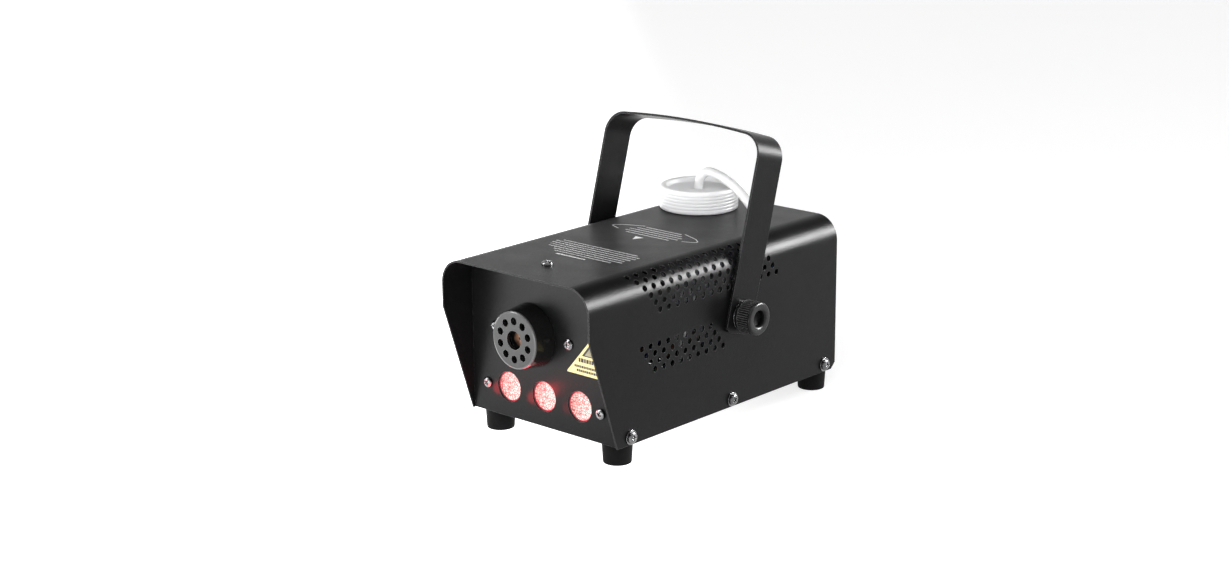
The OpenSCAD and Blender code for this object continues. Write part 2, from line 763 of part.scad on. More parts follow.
module lamp_board() {
  color(c_alu) box([-40, 40], [lamp_board_y, lamp_board_y + 1.6], [lamps_z - 10, lamps_z + 10]);
  color(c_yellow) for (k = [-1:1])
    rod_y(3.4, lamp_x + k * lamp_gap, [lamp_board_y - 1.4, lamp_board_y], lamps_z);
}

module lamp_bracket()
  color(c_alu)
    difference() {
      union() {
        box([-43, 43], [lamp_board_y + 1.65, lamp_board_y + 2.65], [lamps_z - 10, lamps_z + 10]);
        both_sides() {
          box([42, 43], [panel_back, lamp_board_y + 2.65], [lamps_z - 10, lamps_z + 10]);
          box([42, 53], [panel_back, panel_back + 1], [lamps_z - 10, lamps_z + 10]);
        }
      }
      for (s = [-1, 1])
        rod_y(screw_r + 0.02, s * panel_screw_x, [y_panel - 5, panel_back + 5], z_base + panel_screw_z);
    }

module panel_screws()
  color(c_dark_steel) for (s = [-1, 1])
    translate([s * panel_screw_x, panel_front, z_base + panel_screw_z])
      rotate([90, 0, 0]) screw(3.4, 2.1, screw_r, 6);

// Blank triangular sticker with its point up
module warning_sticker()
  color(c_yellow) translate([0, 0, z_base])
    along_y([panel_front - 0.15, panel_front]) polygon([[20, 41], [59.4, 41], [39.7, 63.8]]);

// ---------- pump ----------

module pump_body()
  color(c_plastic) translate([pump_x, 0, pump_z])
    difference() {
      union() {
        rod_y(9.5, 0, [pump_y[1], pump_y[1] + 9], 0);
        rod_y(core_r, 0, [pump_y[0] - 2, pump_y[1] + 1], 0);
        rod_y(7.6, 0, [pump_y[0] - 5, pump_y[0]], 0);
        rod_y(2, 0, [pump_y[1] + 8, pump_y[1] + 16], 0);
        rod_y(1.6, 0, [pump_y[0] - 9, pump_y[0] - 4], 0);
      }
      rod_y(plunger_r + 0.4, 0, [pump_y[0] + 4, pump_y[1] - 2], 0);
    }

module pump_coil()
  color(c_steel) translate([pump_x, 0, pump_z])
    difference() {
      union() {
        rod_y(13, 0, [pump_y[0] + 1.6, pump_y[1] - 1.6], 0);
        for (y = [pump_y[0], pump_y[1] - 1.6])
          box([-15, 15], [y, y + 1.6], [-15, 14]);
        box([-15, 15], pump_y, [-15, -13.4]);
        box([-22, 22], [pump_y[0] + 6, pump_y[1] - 6], [-15, -13.4]);
      }
      rod_y(core_r + 0.05, 0, [pump_y[0] - 1, pump_y[1] + 1], 0);
      for (s = [-1, 1])
        rod_z(2.1, s * 18.5, (pump_y[0] + pump_y[1]) / 2, [-20, 0]);
    }

module pump_plunger()
  color(c_steel) rod_y(plunger_r, pump_x, [pump_y[0] + 8, pump_y[1] - 6], pump_z);

module pump_mounts()
  color(c_rubber) for (s = [-1, 1])
    translate([pump_x + s * 18.5, (pump_y[0] + pump_y[1]) / 2, floor_top]) {
      cylinder(r = 5, h = pump_z - 15 - floor_top);
      translate([0, 0, pump_z - 15 - floor_top]) cylinder(r = 2, h = 4);
    }

// ---------- electronics ----------

module control_board()
  color(c_board) {
    box(board_x, board_y, [board_z, board_z + board_t]);
    for (x = [board_x[0] + 5, board_x[1] - 5], y = [board_y[0] + 5, board_y[1] - 5])
      rod_z(3, x, y, [floor_top, board_z]);
    for (x = [-24:8:0])
      rod_z(3, x, board_y[0] + 8, [board_z + board_t, board_z + board_t + 11]);
  }

module transformer()
  color(c_yellow) translate([-28, board_y[0] + 34, board_z + board_t]) {
    translate([-14, -12, 0]) cube([28, 24, 6]);
    translate([-11, -9, 6]) cube([22, 18, 12]);
  }

module relay()
  color(c_plastic) translate([0, board_y[0] + 26, board_z + board_t]) cube([19, 15.5, 15]);

module terminal_block()
  color(c_board) translate([-20, board_y[1] - 10, board_z + board_t])
    difference() {
      cube([40, 8, 10]);
      for (i = [0:7])
        translate([2.5 + i * 5, 4, 6]) cylinder(r = 1.6, h = 5, $fn = 24);
    }

module radio_receiver()
  color(c_board) {
    box([28, 30], [board_y[0] + 20, board_y[0] + 50], [board_z + board_t, board_z + board_t + 12]);
    rod_z(0.8, 33, board_y[0] + 24, [board_z + board_t, board_z + board_t + 20]);
    box([29.5, 33.2], [board_y[0] + 23.6, board_y[0] + 24.4], [board_z + board_t, board_z + board_t + 1]);
  }

// Sleeved leads, clipped between the rear parts, the board, the heater, the pump and the lamps
module wiring() {
  leads = [
    [[24, 91, 50], [24, 84, 56], [10, 70, 60], [4, 40, 50], [-8, 14, 42], [-12, -4, 33], [-12, -6.5, 31]],
    [[34, 91, 88], [33, 88, 84], [14, 78, 70], [6, 44, 58], [-2, 16, 44], [-2, -4, 33], [-2, -6.5, 31]],
    [[-20.9, 17, 71.8], [-21, 24, 70], [-24, 28, 58], [-20, 18, 44], [-17, -2, 34], [-17, -6.5, 31]],
    [[3.1, 17, 71.8], [3, 26, 66], [2, 26, 54], [4, 12, 42], [8, -2, 34], [8, -6.5, 31]],
    [[30, 34, 56], [28, 24, 60], [20, 10, 50], [14, -2, 36], [13, -6.5, 31]],
    [[46, -78, 34], [50, -70, 34], [52, -40, 32], [50, -14, 34], [34, 2, 34], [18, 0, 34], [17, -6.5, 31]]
  ];
  color(c_knob) for (p = leads) tube(smooth(p, 3), 1.1, 8);
}

// ---------- rear panel ----------

module switch_frame()
  color(c_plastic) translate([switch_mid[0], 0, switch_mid[1]])
    difference() {
      union() {
        along_y([rear_face, rear_face + 1.6]) round_rect(21, 15, 1);
        box([-9.5, 9.5], [rear_face - 16, rear_face], [-6.4, 6.4]);
      }
      box([-8, 8], [rear_face - 8, rear_face + 5], [-5, 5]);
      rod_z(1.1, 0, rear_face + 0.2, [-6, 6]);
    }

// Rocker paddle, lying in its "on" position
module switch_paddle()
  color(c_plastic) translate([switch_mid[0], rear_face + 0.2, switch_mid[1]])
    rotate([0, 0, 9])
      difference() {
        union() {
          box([-7.3, 7.3], [-1.4, 1.2], [-4.6, 4.6]);
          rod_z(1, 0, 0, [-5.6, 5.6]);
          rod_z(2.2, 0, -2, [-3, 3]);
        }
        for (s = [-1, 1])
          rod_z(9, s * 4.6, 9.6, [-10, 10]);
      }

module inlet_socket()
  color(c_plastic) translate([inlet_mid[0], 0, inlet_mid[1]])
    difference() {
      union() {
        along_y([rear_face, rear_face + 2.4]) round_rect(50, 34, 3);
        box([-14, 14], [rear_face - 20, rear_face], [-15, 15]);
      }
      translate([0, 0, 4.5]) along_y([rear_face - 15, rear_face + 5]) socket_shape(24.2, 16.6, 4);
      box([-12.2, 12.2], [rear_face - 17, rear_face + 5], [-13.2, -6.2]);
      for (s = [-1, 1]) {
        rod_y(1.6, s * 20, [rear_face - 5, rear_face + 5], 0);
        rod_y(3, s * 20, [rear_face + 1.4, rear_face + 5], 0);
      }
      for (k = [-1:1])
        box([k * 7 - 2, k * 7 + 2], [rear_face - 30, rear_face], pin_height(k));
    }

function pin_height(k) = k == 0 ? [6, 8] : [1.5, 3.5];

// Mains socket outline: a rectangle with its two upper corners clipped
module socket_shape(w, h, clip)
  polygon([
    [-w / 2, -h / 2], [w / 2, -h / 2], [w / 2, h / 2 - clip],
    [w / 2 - clip, h / 2], [clip - w / 2, h / 2], [-w / 2, h / 2 - clip]
  ]);

module inlet_pins()
  color(c_brass) translate([inlet_mid[0], 0, inlet_mid[1]])
    for (k = [-1:1])
      box([k * 7 - 2, k * 7 + 2], [rear_face - 26, rear_face - 2], pin_height(k));

module fuse_drawer()
  color(c_plastic) translate([inlet_mid[0], 0, inlet_mid[1] - 9.7])
    difference() {
      union() {
        box([-11.8, 11.8], [rear_face - 16.6, rear_face + 2.4], [-3.1, 3.1]);
        box([-4, 4], [rear_face + 2, rear_face + 3.6], [-2.2, 2.2]);
      }
      box([-10.4, 10.4], [rear_face - 11, rear_face - 5], [-2.6, 5]);
    }

module fuse()
  color(c_steel) rod_x(2.5, [inlet_mid[0] - 10, inlet_mid[0] + 10], rear_face - 8, inlet_mid[1] - 9.7);

module inlet_screws()
  color(c_dark_steel) for (s = [-1, 1])
    translate([inlet_mid[0] + s * 20, rear_face + 1.4, inlet_mid[1]])
      rotate([-90, 0, 0]) screw(2.8, 1.8, screw_r, 6);

// ---------- the parts ----------

hood();
chassis();
hood_screws();
hood_screw_washers();
foot(-1, -1);  // foot_front_left
foot(1, -1);  // foot_front_right
foot(-1, 1);  // foot_rear_left
foot(1, 1);  // foot_rear_right
foot_screws();
yoke();
yoke_spacers();
rivet_nuts();
mirror([1, 0, 0]) knob_washer();  // washer_left
knob_washer();  // washer_right
mirror([1, 0, 0]) knob();  // knob_left
knob();  // knob_right
mirror([1, 0, 0]) stud();  // stud_left
stud();  // stud_right
bottle();
bottle_tray();
bottle_cap();
cap_bushing();
hose_grommet();
supply_hose();
hose_filter();
nozzle_guard();
guard_ring_nut();
nozzle_tube();
heater_block();
heater_sleeve();
heater_bracket();
heater_standoffs();
heater_screws();
thermostat();
feed_tube();
lamp_lens(-1);  // lamp_lens_left
lamp_lens(0);  // lamp_lens_middle
lamp_lens(1);  // lamp_lens_right
lamp_holders();
lamp_board();
lamp_bracket();
panel_screws();
warning_sticker();
pump_body();
pump_coil();
pump_plunger();
pump_mounts();
control_board();
transformer();
relay();
terminal_block();
radio_receiver();
wiring();
switch_frame();
switch_paddle();
inlet_socket();
inlet_pins();
fuse_drawer();
fuse();
inlet_screws();
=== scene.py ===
"""Looks of a small fog machine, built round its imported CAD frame."""
import json
import math
import random

import bmesh
import bpy
from mathutils import Matrix, Vector


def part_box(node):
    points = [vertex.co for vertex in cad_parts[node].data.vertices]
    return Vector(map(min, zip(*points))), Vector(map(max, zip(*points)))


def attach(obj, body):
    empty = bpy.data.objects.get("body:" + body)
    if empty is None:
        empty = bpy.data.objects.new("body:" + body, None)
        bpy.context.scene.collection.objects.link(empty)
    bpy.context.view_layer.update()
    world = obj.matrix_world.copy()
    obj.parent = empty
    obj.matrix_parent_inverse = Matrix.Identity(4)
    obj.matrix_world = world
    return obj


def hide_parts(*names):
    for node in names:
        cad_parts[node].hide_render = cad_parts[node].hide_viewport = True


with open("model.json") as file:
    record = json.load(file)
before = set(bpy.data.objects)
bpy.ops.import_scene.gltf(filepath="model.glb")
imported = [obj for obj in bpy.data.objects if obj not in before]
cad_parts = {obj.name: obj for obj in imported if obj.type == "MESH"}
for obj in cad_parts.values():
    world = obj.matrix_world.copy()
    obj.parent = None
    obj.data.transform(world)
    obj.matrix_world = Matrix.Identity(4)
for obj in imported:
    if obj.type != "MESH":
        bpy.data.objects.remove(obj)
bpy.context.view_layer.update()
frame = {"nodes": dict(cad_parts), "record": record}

MM = 0.001
NODES = frame["nodes"]
SAME_SPOT = 1e-7
CAD_WELD = 1e-6


# ---------- places read from the frame ----------

def middle(node):
    low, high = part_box(node)
    return (low + high) / 2


HOOD_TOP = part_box("hood")[1].z
PANEL_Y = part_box("chassis")[0].y


# ---------- camera ----------

# Place in metres; lens and sensor in millimetres.
CAMERA_PLACE = Vector((0.92393, -1.04894, 0.47410))
CAMERA_AZIMUTH = math.radians(42.1955)
CAMERA_ELEVATION = math.radians(15.4518)
CAMERA_ROLL = math.radians(-0.4065)
CAMERA_LENS = 66.337
SENSOR_WIDTH = 36
NEAREST, FARTHEST = 0.05, 20


def make_camera():
    across = Vector((math.cos(CAMERA_AZIMUTH), math.sin(CAMERA_AZIMUTH), 0))
    back = Vector((math.sin(CAMERA_AZIMUTH) * math.cos(CAMERA_ELEVATION),
                   -math.cos(CAMERA_AZIMUTH) * math.cos(CAMERA_ELEVATION),
                   math.sin(CAMERA_ELEVATION)))
    up = back.cross(across)
    right = across * math.cos(CAMERA_ROLL) + up * math.sin(CAMERA_ROLL)
    top = up * math.cos(CAMERA_ROLL) - across * math.sin(CAMERA_ROLL)
    data = bpy.data.cameras.new("camera")
    data.lens = CAMERA_LENS
    data.sensor_width = SENSOR_WIDTH
    data.clip_start, data.clip_end = NEAREST, FARTHEST
    camera = bpy.data.objects.new("camera", data)
    turn = Matrix((right, top, back)).transposed().to_4x4()
    camera.matrix_world = Matrix.Translation(CAMERA_PLACE) @ turn
    bpy.context.scene.collection.objects.link(camera)
    bpy.context.scene.camera = camera


make_camera()


# ---------- materials ----------

EDGE_SOFT = 0.3 * MM
LAMP_STRENGTH = 0.93
ACRYLIC_IOR, PLASTIC_IOR, GLASS_IOR = 1.49, 1.46, 1.5


def set_range(node, start, end, low, high):
    """Sets a Map Range node, so that start to end becomes low to high."""
    for key, value in (("From Min", start), ("From Max", end), ("To Min", low), ("To Max", high)):
        node.inputs[key].default_value = value


class Nodes:
    """Short way to write a material's node tree."""

    def __init__(self, name):
        self.material = bpy.data.materials.new(name)
        self.material.use_nodes = True
        self.tree = self.material.node_tree
        self.shader = self.tree.nodes["Principled BSDF"]
        self.place = self.add("ShaderNodeTexCoord").outputs["Object"]

    def add(self, kind, **settings):
        node = self.tree.nodes.new(kind)
        for key, value in settings.items():
            setattr(node, key, value)
        return node

    def link(self, source, target):
        self.tree.links.new(source, target)

    def noise(self, scale, detail=2.0, rough=0.5, stretch=None):
        node = self.add("ShaderNodeTexNoise")
        node.inputs["Scale"].default_value = scale
        node.inputs["Detail"].default_value = detail
        node.inputs["Roughness"].default_value = rough
        place = self.place
        if stretch:
            mapping = self.add("ShaderNodeMapping")
            mapping.inputs["Scale"].default_value = stretch
            self.link(place, mapping.inputs["Vector"])
            place = mapping.outputs["Vector"]
        self.link(place, node.inputs["Vector"])
        return node.outputs["Fac"]

    def spread(self, value, low, high, start=0.3, end=0.7):
        node = self.add("ShaderNodeMapRange")
        set_range(node, start, end, low, high)
        self.link(value, node.inputs["Value"])
        return node.outputs["Result"]

    def mix(self, amount, first, second):
        node = self.add("ShaderNodeMix", data_type="RGBA")
        self.link(amount, node.inputs["Factor"])
        for socket, colour in ((node.inputs["A"], first), (node.inputs["B"], second)):
            if isinstance(colour, tuple):
                socket.default_value = (*colour, 1)
            else:
                self.link(colour, socket)
        return node.outputs["Result"]

    def bump(self, height, distance, under=None):
        node = self.add("ShaderNodeBump")
        node.inputs["Distance"].default_value = distance
        self.link(height, node.inputs["Height"])
        if under:
            self.link(under, node.inputs["Normal"])
        return node.outputs["Normal"]

    def soft_edges(self, radius):
        """Normal that rounds off sharp edges, and a mask that rises from 0 to 1 on them."""
        bevel = self.add("ShaderNodeBevel", samples=4)
        bevel.inputs["Radius"].default_value = radius
        turn = self.add("ShaderNodeVectorMath", operation="DOT_PRODUCT")
        self.link(bevel.outputs["Normal"], turn.inputs[0])
        self.link(self.add("ShaderNodeNewGeometry").outputs["Normal"], turn.inputs[1])
        return bevel.outputs["Normal"], self.spread(turn.outputs["Value"], 1.0, 0.0, 0.80, 0.985)

    def set(self, **values):
        for key, value in values.items():
            self.shader.inputs[key.replace("_", " ")].default_value = value


def surface(name, colour, second, rough, grain, height, metallic=0.0, patch=30.0,
            edge_highlight=None, stretch=None, **extra):
    """Material with patchy colour and roughness, a fine grain and, if asked, sharp edges painted paler as
    a highlight.
    """
    n = Nodes(name)
    tint = n.mix(n.spread(n.noise(patch, 3), 0, 1), colour, second)
    normal = None
    if edge_highlight:
        normal, mask = n.soft_edges(EDGE_SOFT)
        # Painted highlight: sharp edges take the paler colour.
        tint = n.mix(mask, tint, edge_highlight)
    n.link(tint, n.shader.inputs["Base Color"])
    n.link(n.spread(n.noise(patch * 2.3, 4), *rough), n.shader.inputs["Roughness"])
    n.link(n.bump(n.noise(grain, 2, 0.6, stretch), height, under=normal), n.shader.inputs["Normal"])
    n.set(Metallic=metallic, **extra)
    return n.material


def powder_coat():
    """Satin black powder coat: orange peel under a finer grain, with sharp edges painted paler as a
    highlight.
    """
    n = Nodes("powder_coat")
    rounded_normal, mask = n.soft_edges(EDGE_SOFT)
    tint = n.mix(n.spread(n.noise(18, 3), 0, 1), (0.0026, 0.0026, 0.0027), (0.0036, 0.0036, 0.0038))
    speck = n.spread(n.noise(1500, 1), 0, 0.25, 0.62, 0.75)
    tint = n.mix(speck, tint, (0.018, 0.018, 0.018))
    # Painted highlight: sharp edges are lightened.
    tint = n.mix(mask, tint, (0.11, 0.11, 0.11))
    n.link(tint, n.shader.inputs["Base Color"])
    n.link(n.spread(n.noise(60, 4), 0.28, 0.34), n.shader.inputs["Roughness"])
    peel = n.bump(n.noise(420, 1), 0.00004, under=rounded_normal)
    n.link(n.bump(n.noise(1400, 2, 0.6), 0.0001, under=peel), n.shader.inputs["Normal"])
    n.set(Specular_IOR_Level=0.065)
    return n.material


def lamp_glass():
    """Lens of a lit lamp: cream cells in a fine red network, redder towards its upper left."""
    n = Nodes("lamp_lens")
    cells = n.add("ShaderNodeTexVoronoi", feature="DISTANCE_TO_EDGE")
    cells.inputs["Scale"].default_value = 560
    n.link(n.place, cells.inputs["Vector"])
    line = n.spread(cells.outputs["Distance"], 0, 1, 0.03, 0.17)
    spot = n.add("ShaderNodeSeparateXYZ")
    n.link(n.add("ShaderNodeTexCoord").outputs["Generated"], spot.inputs[0])
    lean = n.add("ShaderNodeMath", operation="SUBTRACT")
    n.link(spot.outputs["X"], lean.inputs[0])
    n.link(n.spread(spot.outputs["Z"], 0, 0.45, 0, 1), lean.inputs[1])
    patchy = n.add("ShaderNodeMath", operation="ADD")
    n.link(lean.outputs[0], patchy.inputs[0])
    n.link(n.spread(n.noise(330, 2), -0.5, 0.5, 0.3, 0.7), patchy.inputs[1])
    red = n.mix(line, (0.36, 0.004, 0.01), (0.86, 0.38, 0.34))
    pale = n.mix(line, (0.62, 0.06, 0.06), (0.97, 0.93, 0.86))
    glow = n.mix(n.spread(patchy.outputs[0], 0, 1, -0.02, 0.42), red, pale)
    n.link(glow, n.shader.inputs["Emission Color"])
    n.link(n.mix(line, (0.05, 0.01, 0.01), (0.12, 0.06, 0.05)), n.shader.inputs["Base Color"])
    n.link(n.spread(n.noise(300), 0.05, 0.14), n.shader.inputs["Roughness"])
    n.link(n.bump(cells.outputs["Distance"], 0.0002), n.shader.inputs["Normal"])
    n.set(Emission_Strength=LAMP_STRENGTH, IOR=ACRYLIC_IOR)
    return n.material


def lamp_rim():
    """Smooth rim of a lit lens."""
    n = Nodes("lamp_rim")
    reach = n.add("ShaderNodeVectorMath", operation="DISTANCE")
    n.link(n.add("ShaderNodeTexCoord").outputs["Generated"], reach.inputs[0])
    reach.inputs[1].default_value = (0.5, 0, 0.5)
    edge = n.spread(reach.outputs["Value"], 0, 1, 0.43, 0.455)
    glow = n.mix(n.spread(n.noise(500, 2), 0, 1), (0.80, 0.50, 0.47), (0.92, 0.78, 0.72))
    glow = n.mix(edge, glow, (0.66, 0.015, 0.04))
    n.link(glow, n.shader.inputs["Emission Color"])
    n.link(n.mix(n.spread(n.noise(400), 0, 1), (0.05, 0.01, 0.01), (0.10, 0.03, 0.03)),
           n.shader.inputs["Base Color"])
    n.link(n.spread(n.noise(300), 0.08, 0.16), n.shader.inputs["Roughness"])
    n.set(Emission_Strength=LAMP_STRENGTH, IOR=ACRYLIC_IOR)
    return n.material


def guard_metal():
    """Glossy black side and a satin dark grey face, with a painted highlight on the chamfer ring and on
    sharp edges.
    """
    n = Nodes("guard_black")
    normal, mask = n.soft_edges(EDGE_SOFT)
    parts = n.add("ShaderNodeSeparateXYZ")
    n.link(n.add("ShaderNodeNewGeometry").outputs["True Normal"], parts.inputs[0])
    face = n.spread(parts.outputs["Y"], 1.0, 0.0, -0.98, -0.94)
    # The chamfer ring between face and side is painted paler as a highlight.
    rim = n.spread(parts.outputs["Y"], 1.0, 0.0, -0.5, -0.2)
    side = n.mix(n.spread(n.noise(60, 3), 0, 1), (0.004, 0.004, 0.004), (0.006, 0.006, 0.006))
    front = n.mix(n.spread(n.noise(300, 3), 0, 1), (0.006, 0.006, 0.006), (0.010, 0.010, 0.010))
    tint = n.mix(face, n.mix(rim, side, (0.05, 0.05, 0.05)), front)
    # Painted highlight: sharp edges are lightened.
    tint = n.mix(mask, tint, (0.20, 0.20, 0.20))
    n.link(tint, n.shader.inputs["Base Color"])
    n.link(n.spread(face, 0.16, 0.42, 0, 1), n.shader.inputs["Roughness"])
    n.link(n.bump(n.noise(900, 2), 0.000004, under=normal), n.shader.inputs["Normal"])
    n.set(Specular_IOR_Level=0.22)
    return n.material


def milky(name, colour, second, through, rough):
    """Cloudy plastic. through is the share of light that passes straight through it."""
    n = Nodes(name)
    tint = n.mix(n.spread(n.noise(45, 3), 0, 1), colour, second)
    n.link(tint, n.shader.inputs["Base Color"])
    n.link(n.spread(n.noise(80, 3), *rough), n.shader.inputs["Roughness"])
    n.link(n.bump(n.noise(900, 2), 0.00001), n.shader.inputs["Normal"])
    n.set(Subsurface_Weight=1.0, Subsurface_Scale=4 * MM, Transmission_Weight=through,
          IOR=PLASTIC_IOR, Specular_IOR_Level=0.25)
    n.shader.inputs["Subsurface Radius"].default_value = (1.0, 1.0, 0.95)
    return n.material


def brushed(name, colour, second):
    return surface(name, colour, second, (0.28, 0.42), 500, 0.00002, 1.0, 60, stretch=(1, 6, 6))


def fibre():
    """Woven glass-fibre sleeve, coloured near black as painted shade for the dark inside seen through the
    vents.
    """
    n = Nodes("fibre_sleeve")
    waves = []
    for direction in ("X", "Y"):
        wave = n.add("ShaderNodeTexWave", bands_direction=direction)
        wave.inputs["Scale"].default_value = 260
        wave.inputs["Distortion"].default_value = 0.6
        n.link(n.place, wave.inputs["Vector"])
        waves.append(wave.outputs["Fac"])
    weave = n.add("ShaderNodeMath", operation="MULTIPLY")
    n.link(waves[0], weave.inputs[0])
    n.link(waves[1], weave.inputs[1])
    # Near-black colour: painted shade for the inside of the hood.
    n.link(n.mix(weave.outputs[0], (0.020, 0.019, 0.017), (0.04, 0.038, 0.034)),
           n.shader.inputs["Base Color"])
    n.link(n.bump(weave.outputs[0], 0.0004), n.shader.inputs["Normal"])
    n.link(n.spread(n.noise(70), 0.75, 0.95), n.shader.inputs["Roughness"])
    return n.material


def clear_glass():
    n = Nodes("fuse_glass")
    n.link(n.mix(n.spread(n.noise(200), 0, 1), (0.88, 0.92, 0.92), (0.95, 0.97, 0.97)),
           n.shader.inputs["Base Color"])
    n.link(n.spread(n.noise(300), 0.03, 0.09), n.shader.inputs["Roughness"])
    n.set(Transmission_Weight=0.7, IOR=GLASS_IOR)
    return n.material


# The paler edge colours passed to surface() below are painted highlights on sharp edges.
MAT = {
    "hood_coat": powder_coat(),
    "dark_zinc": surface("dark_zinc", (0.085, 0.085, 0.087), (0.15, 0.15, 0.153), (0.16, 0.26), 900,
                         0.00001, 1.0, 400, edge_highlight=(0.40, 0.40, 0.40)),
    "zinc_steel": brushed("zinc_steel", (0.60, 0.61, 0.62), (0.72, 0.73, 0.74)),
    "rubber_black": surface("rubber_black", (0.003, 0.003, 0.003), (0.005, 0.005, 0.005),
                            (0.5, 0.65), 1300, 0.00004, edge_highlight=(0.012, 0.012, 0.012),
                            Specular_IOR_Level=0.03),
    "knob_black": surface("knob_black", (0.0025, 0.0025, 0.0025), (0.004, 0.004, 0.004), (0.26, 0.34),
                          1200, 0.00001, patch=90, edge_highlight=(0.09, 0.09, 0.09), Specular_IOR_Level=0.2),
    "milky_plastic": milky("milky_plastic", (0.86, 0.87, 0.86), (0.80, 0.82, 0.81), 0.25,
                           (0.3, 0.42)),
    "cap_white": milky("cap_white", (0.69, 0.692, 0.695), (0.665, 0.668, 0.675), 0.0, (0.36, 0.46)),
    "hose_clear": milky("hose_clear", (0.69, 0.692, 0.695), (0.66, 0.663, 0.67), 0.0,
                        (0.2, 0.32)),
    "brass_parts": brushed("brass_parts", (0.72, 0.55, 0.26), (0.82, 0.66, 0.36)),
    "guard_black": guard_metal(),
    "copper_jet": surface("copper_jet", (0.16, 0.08, 0.045), (0.09, 0.055, 0.045), (0.3, 0.5), 700,
                          0.00003, 1.0, 160),
    "heater_alu": surface("heater_alu", (0.40, 0.41, 0.42), (0.48, 0.49, 0.50), (0.42, 0.58), 800,
                          0.00008, 1.0, 80),
    "black_plastic": surface("black_plastic", (0.016, 0.016, 0.017), (0.022, 0.022, 0.023),
                             (0.42, 0.55), 1600, 0.00003, edge_highlight=(0.045, 0.045, 0.045)),
    "coil_yellow": surface("coil_yellow", (0.42, 0.28, 0.02), (0.50, 0.36, 0.04), (0.25, 0.4), 260,
                           0.00008, stretch=(1, 1, 5)),
    "board_green": surface("board_green", (0.020, 0.14, 0.05), (0.03, 0.18, 0.07), (0.22, 0.34),
                           700, 0.00003, patch=120),
    "fibre_sleeve": fibre(),
    "fuse_glass": clear_glass(),
    "lamp_lens": lamp_glass(),
    "sticker_yellow": surface("sticker_yellow", (0.43, 0.35, 0.125), (0.48, 0.39, 0.15), (0.3, 0.42),
                              900, 0.00001, patch=120),
}
MAT["chassis_coat"] = MAT["hood_coat"]
MAT["yoke_coat"] = MAT["hood_coat"]

# Second materials, on pieces that fill one of the slots above.
LAMP_RIM = lamp_rim()
# Paler ridge tops of the knob's grooves: a painted highlight.
KNOB_RIDGE_HIGHLIGHT = surface("knob_ridge_highlight", (0.024, 0.024, 0.024), (0.034, 0.034, 0.034), (0.24, 0.32), 1200,
                     0.00001, patch=90, Specular_IOR_Level=0.5)
# Near-black pit and groove bottoms of the knob: painted shade.
KNOB_PAINTED_SHADE = surface("knob_painted_shade", (0.0008, 0.0008, 0.0008), (0.0016, 0.0016, 0.0016), (0.5, 0.6), 1200,
                    0.00001, patch=90, Specular_IOR_Level=0.06)
STICKER_BLACK = surface("sticker_black", (0.005, 0.005, 0.005), (0.008, 0.008, 0.008), (0.35, 0.5), 900,
                        0.00001, patch=200, Specular_IOR_Level=0.2)
STICKER_OLIVE = surface("sticker_olive", (0.08, 0.07, 0.03), (0.16, 0.14, 0.06), (0.4, 0.5), 900,
                        0.00001, patch=900)
PRINT_GREY = surface("print_grey", (0.46, 0.46, 0.46), (0.72, 0.72, 0.72), (0.45, 0.6), 1200,
                     0.00001, patch=700)
PRINT_WHITE = surface("print_white", (0.75, 0.75, 0.75), (0.85, 0.85, 0.85), (0.45, 0.6), 1200,
                      0.00001, patch=400)


# ---------- mesh helpers ----------

def finish_mesh(name, bm, material, body, replaced=(), slot=None, smooth_angle=35):
    """Makes a piece from a bmesh, shades it, and lets it ride on a body."""
    bmesh.ops.remove_doubles(bm, verts=bm.verts, dist=SAME_SPOT)
    bmesh.ops.recalc_face_normals(bm, faces=bm.faces)
    for face in bm.faces:
        face.smooth = True
    limit = math.radians(smooth_angle)
    for edge in bm.edges:
        edge.smooth = len(edge.link_faces) == 2 and edge.calc_face_angle(0) < limit
    mesh = bpy.data.meshes.new(name)
    bm.to_mesh(mesh)
    bm.free()
    for m in material if isinstance(material, (list, tuple)) else [material]:
        mesh.materials.append(m)
    piece = bpy.data.objects.new(name, mesh)
    bpy.context.scene.collection.objects.link(piece)
    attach(piece, body)
    if replaced:
        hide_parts(*replaced)
    return piece


def lathe(bm, outline, matrix, steps, radius=None):
    """Turns a closed outline of (r, z) about Z. radius(r, z, angle) may change r round the turn."""
    loops = []
    for k in range(steps):
        angle = 2 * math.pi * k / steps
        loop = []
        for r, z in outline:
            reach = radius(r, z, angle) if radius else r
            spot = Vector((reach * math.cos(angle), reach * math.sin(angle), z))
            loop.append(bm.verts.new(matrix @ spot))
        loops.append(loop)
    count = len(outline)
    for k in range(steps):
        a, b = loops[k], loops[(k + 1) % steps]
        for i in range(count):
            j = (i + 1) % count
            corners = [a[i], b[i], b[j], a[j]]
            if outline[i][0] == 0:
                corners.remove(b[i])
            if outline[j][0] == 0:
                corners.remove(b[j])
            if len(corners) > 2:
                bm.faces.new(corners)
    axis = [v for loop in loops for v, (r, _) in zip(loop, outline) if r == 0]
    if axis:
        bmesh.ops.remove_doubles(bm, verts=axis, dist=SAME_SPOT)


def ring_of(bm, matrix, reach, height, around):
    """Circle of vertices about Z. height(x, y) gives each one's z."""
    made = []
    for k in range(around):
        angle = 2 * math.pi * k / around
        x, y = reach * math.cos(angle), reach * math.sin(angle)
        made.append(bm.verts.new(matrix @ Vector((x, y, height(x, y)))))
    return made


def shaped_disc(bm, matrix, reach, height, around, out, rims):
    """Disc with its own height(x, y), then rims of (r, z) down to a flat end. Returns a list of
    faces for each ring past the first."""
    centre = bm.verts.new(matrix @ Vector((0, 0, height(0, 0))))
    rings = [ring_of(bm, matrix, reach * i / out, height, around) for i in range(1, out + 1)]
    for r, z in rims:
        rings.append(ring_of(bm, matrix, r, lambda x, y: z, around))
    for k in range(around):
        bm.faces.new([centre, rings[0][k], rings[0][(k + 1) % around]])
    made = []
    for a, b in zip(rings, rings[1:]):
        made.append([bm.faces.new([a[k], b[k], b[(k + 1) % around], a[(k + 1) % around]])
                     for k in range(around)])
    bm.faces.new(rings[-1][::-1])
    return made


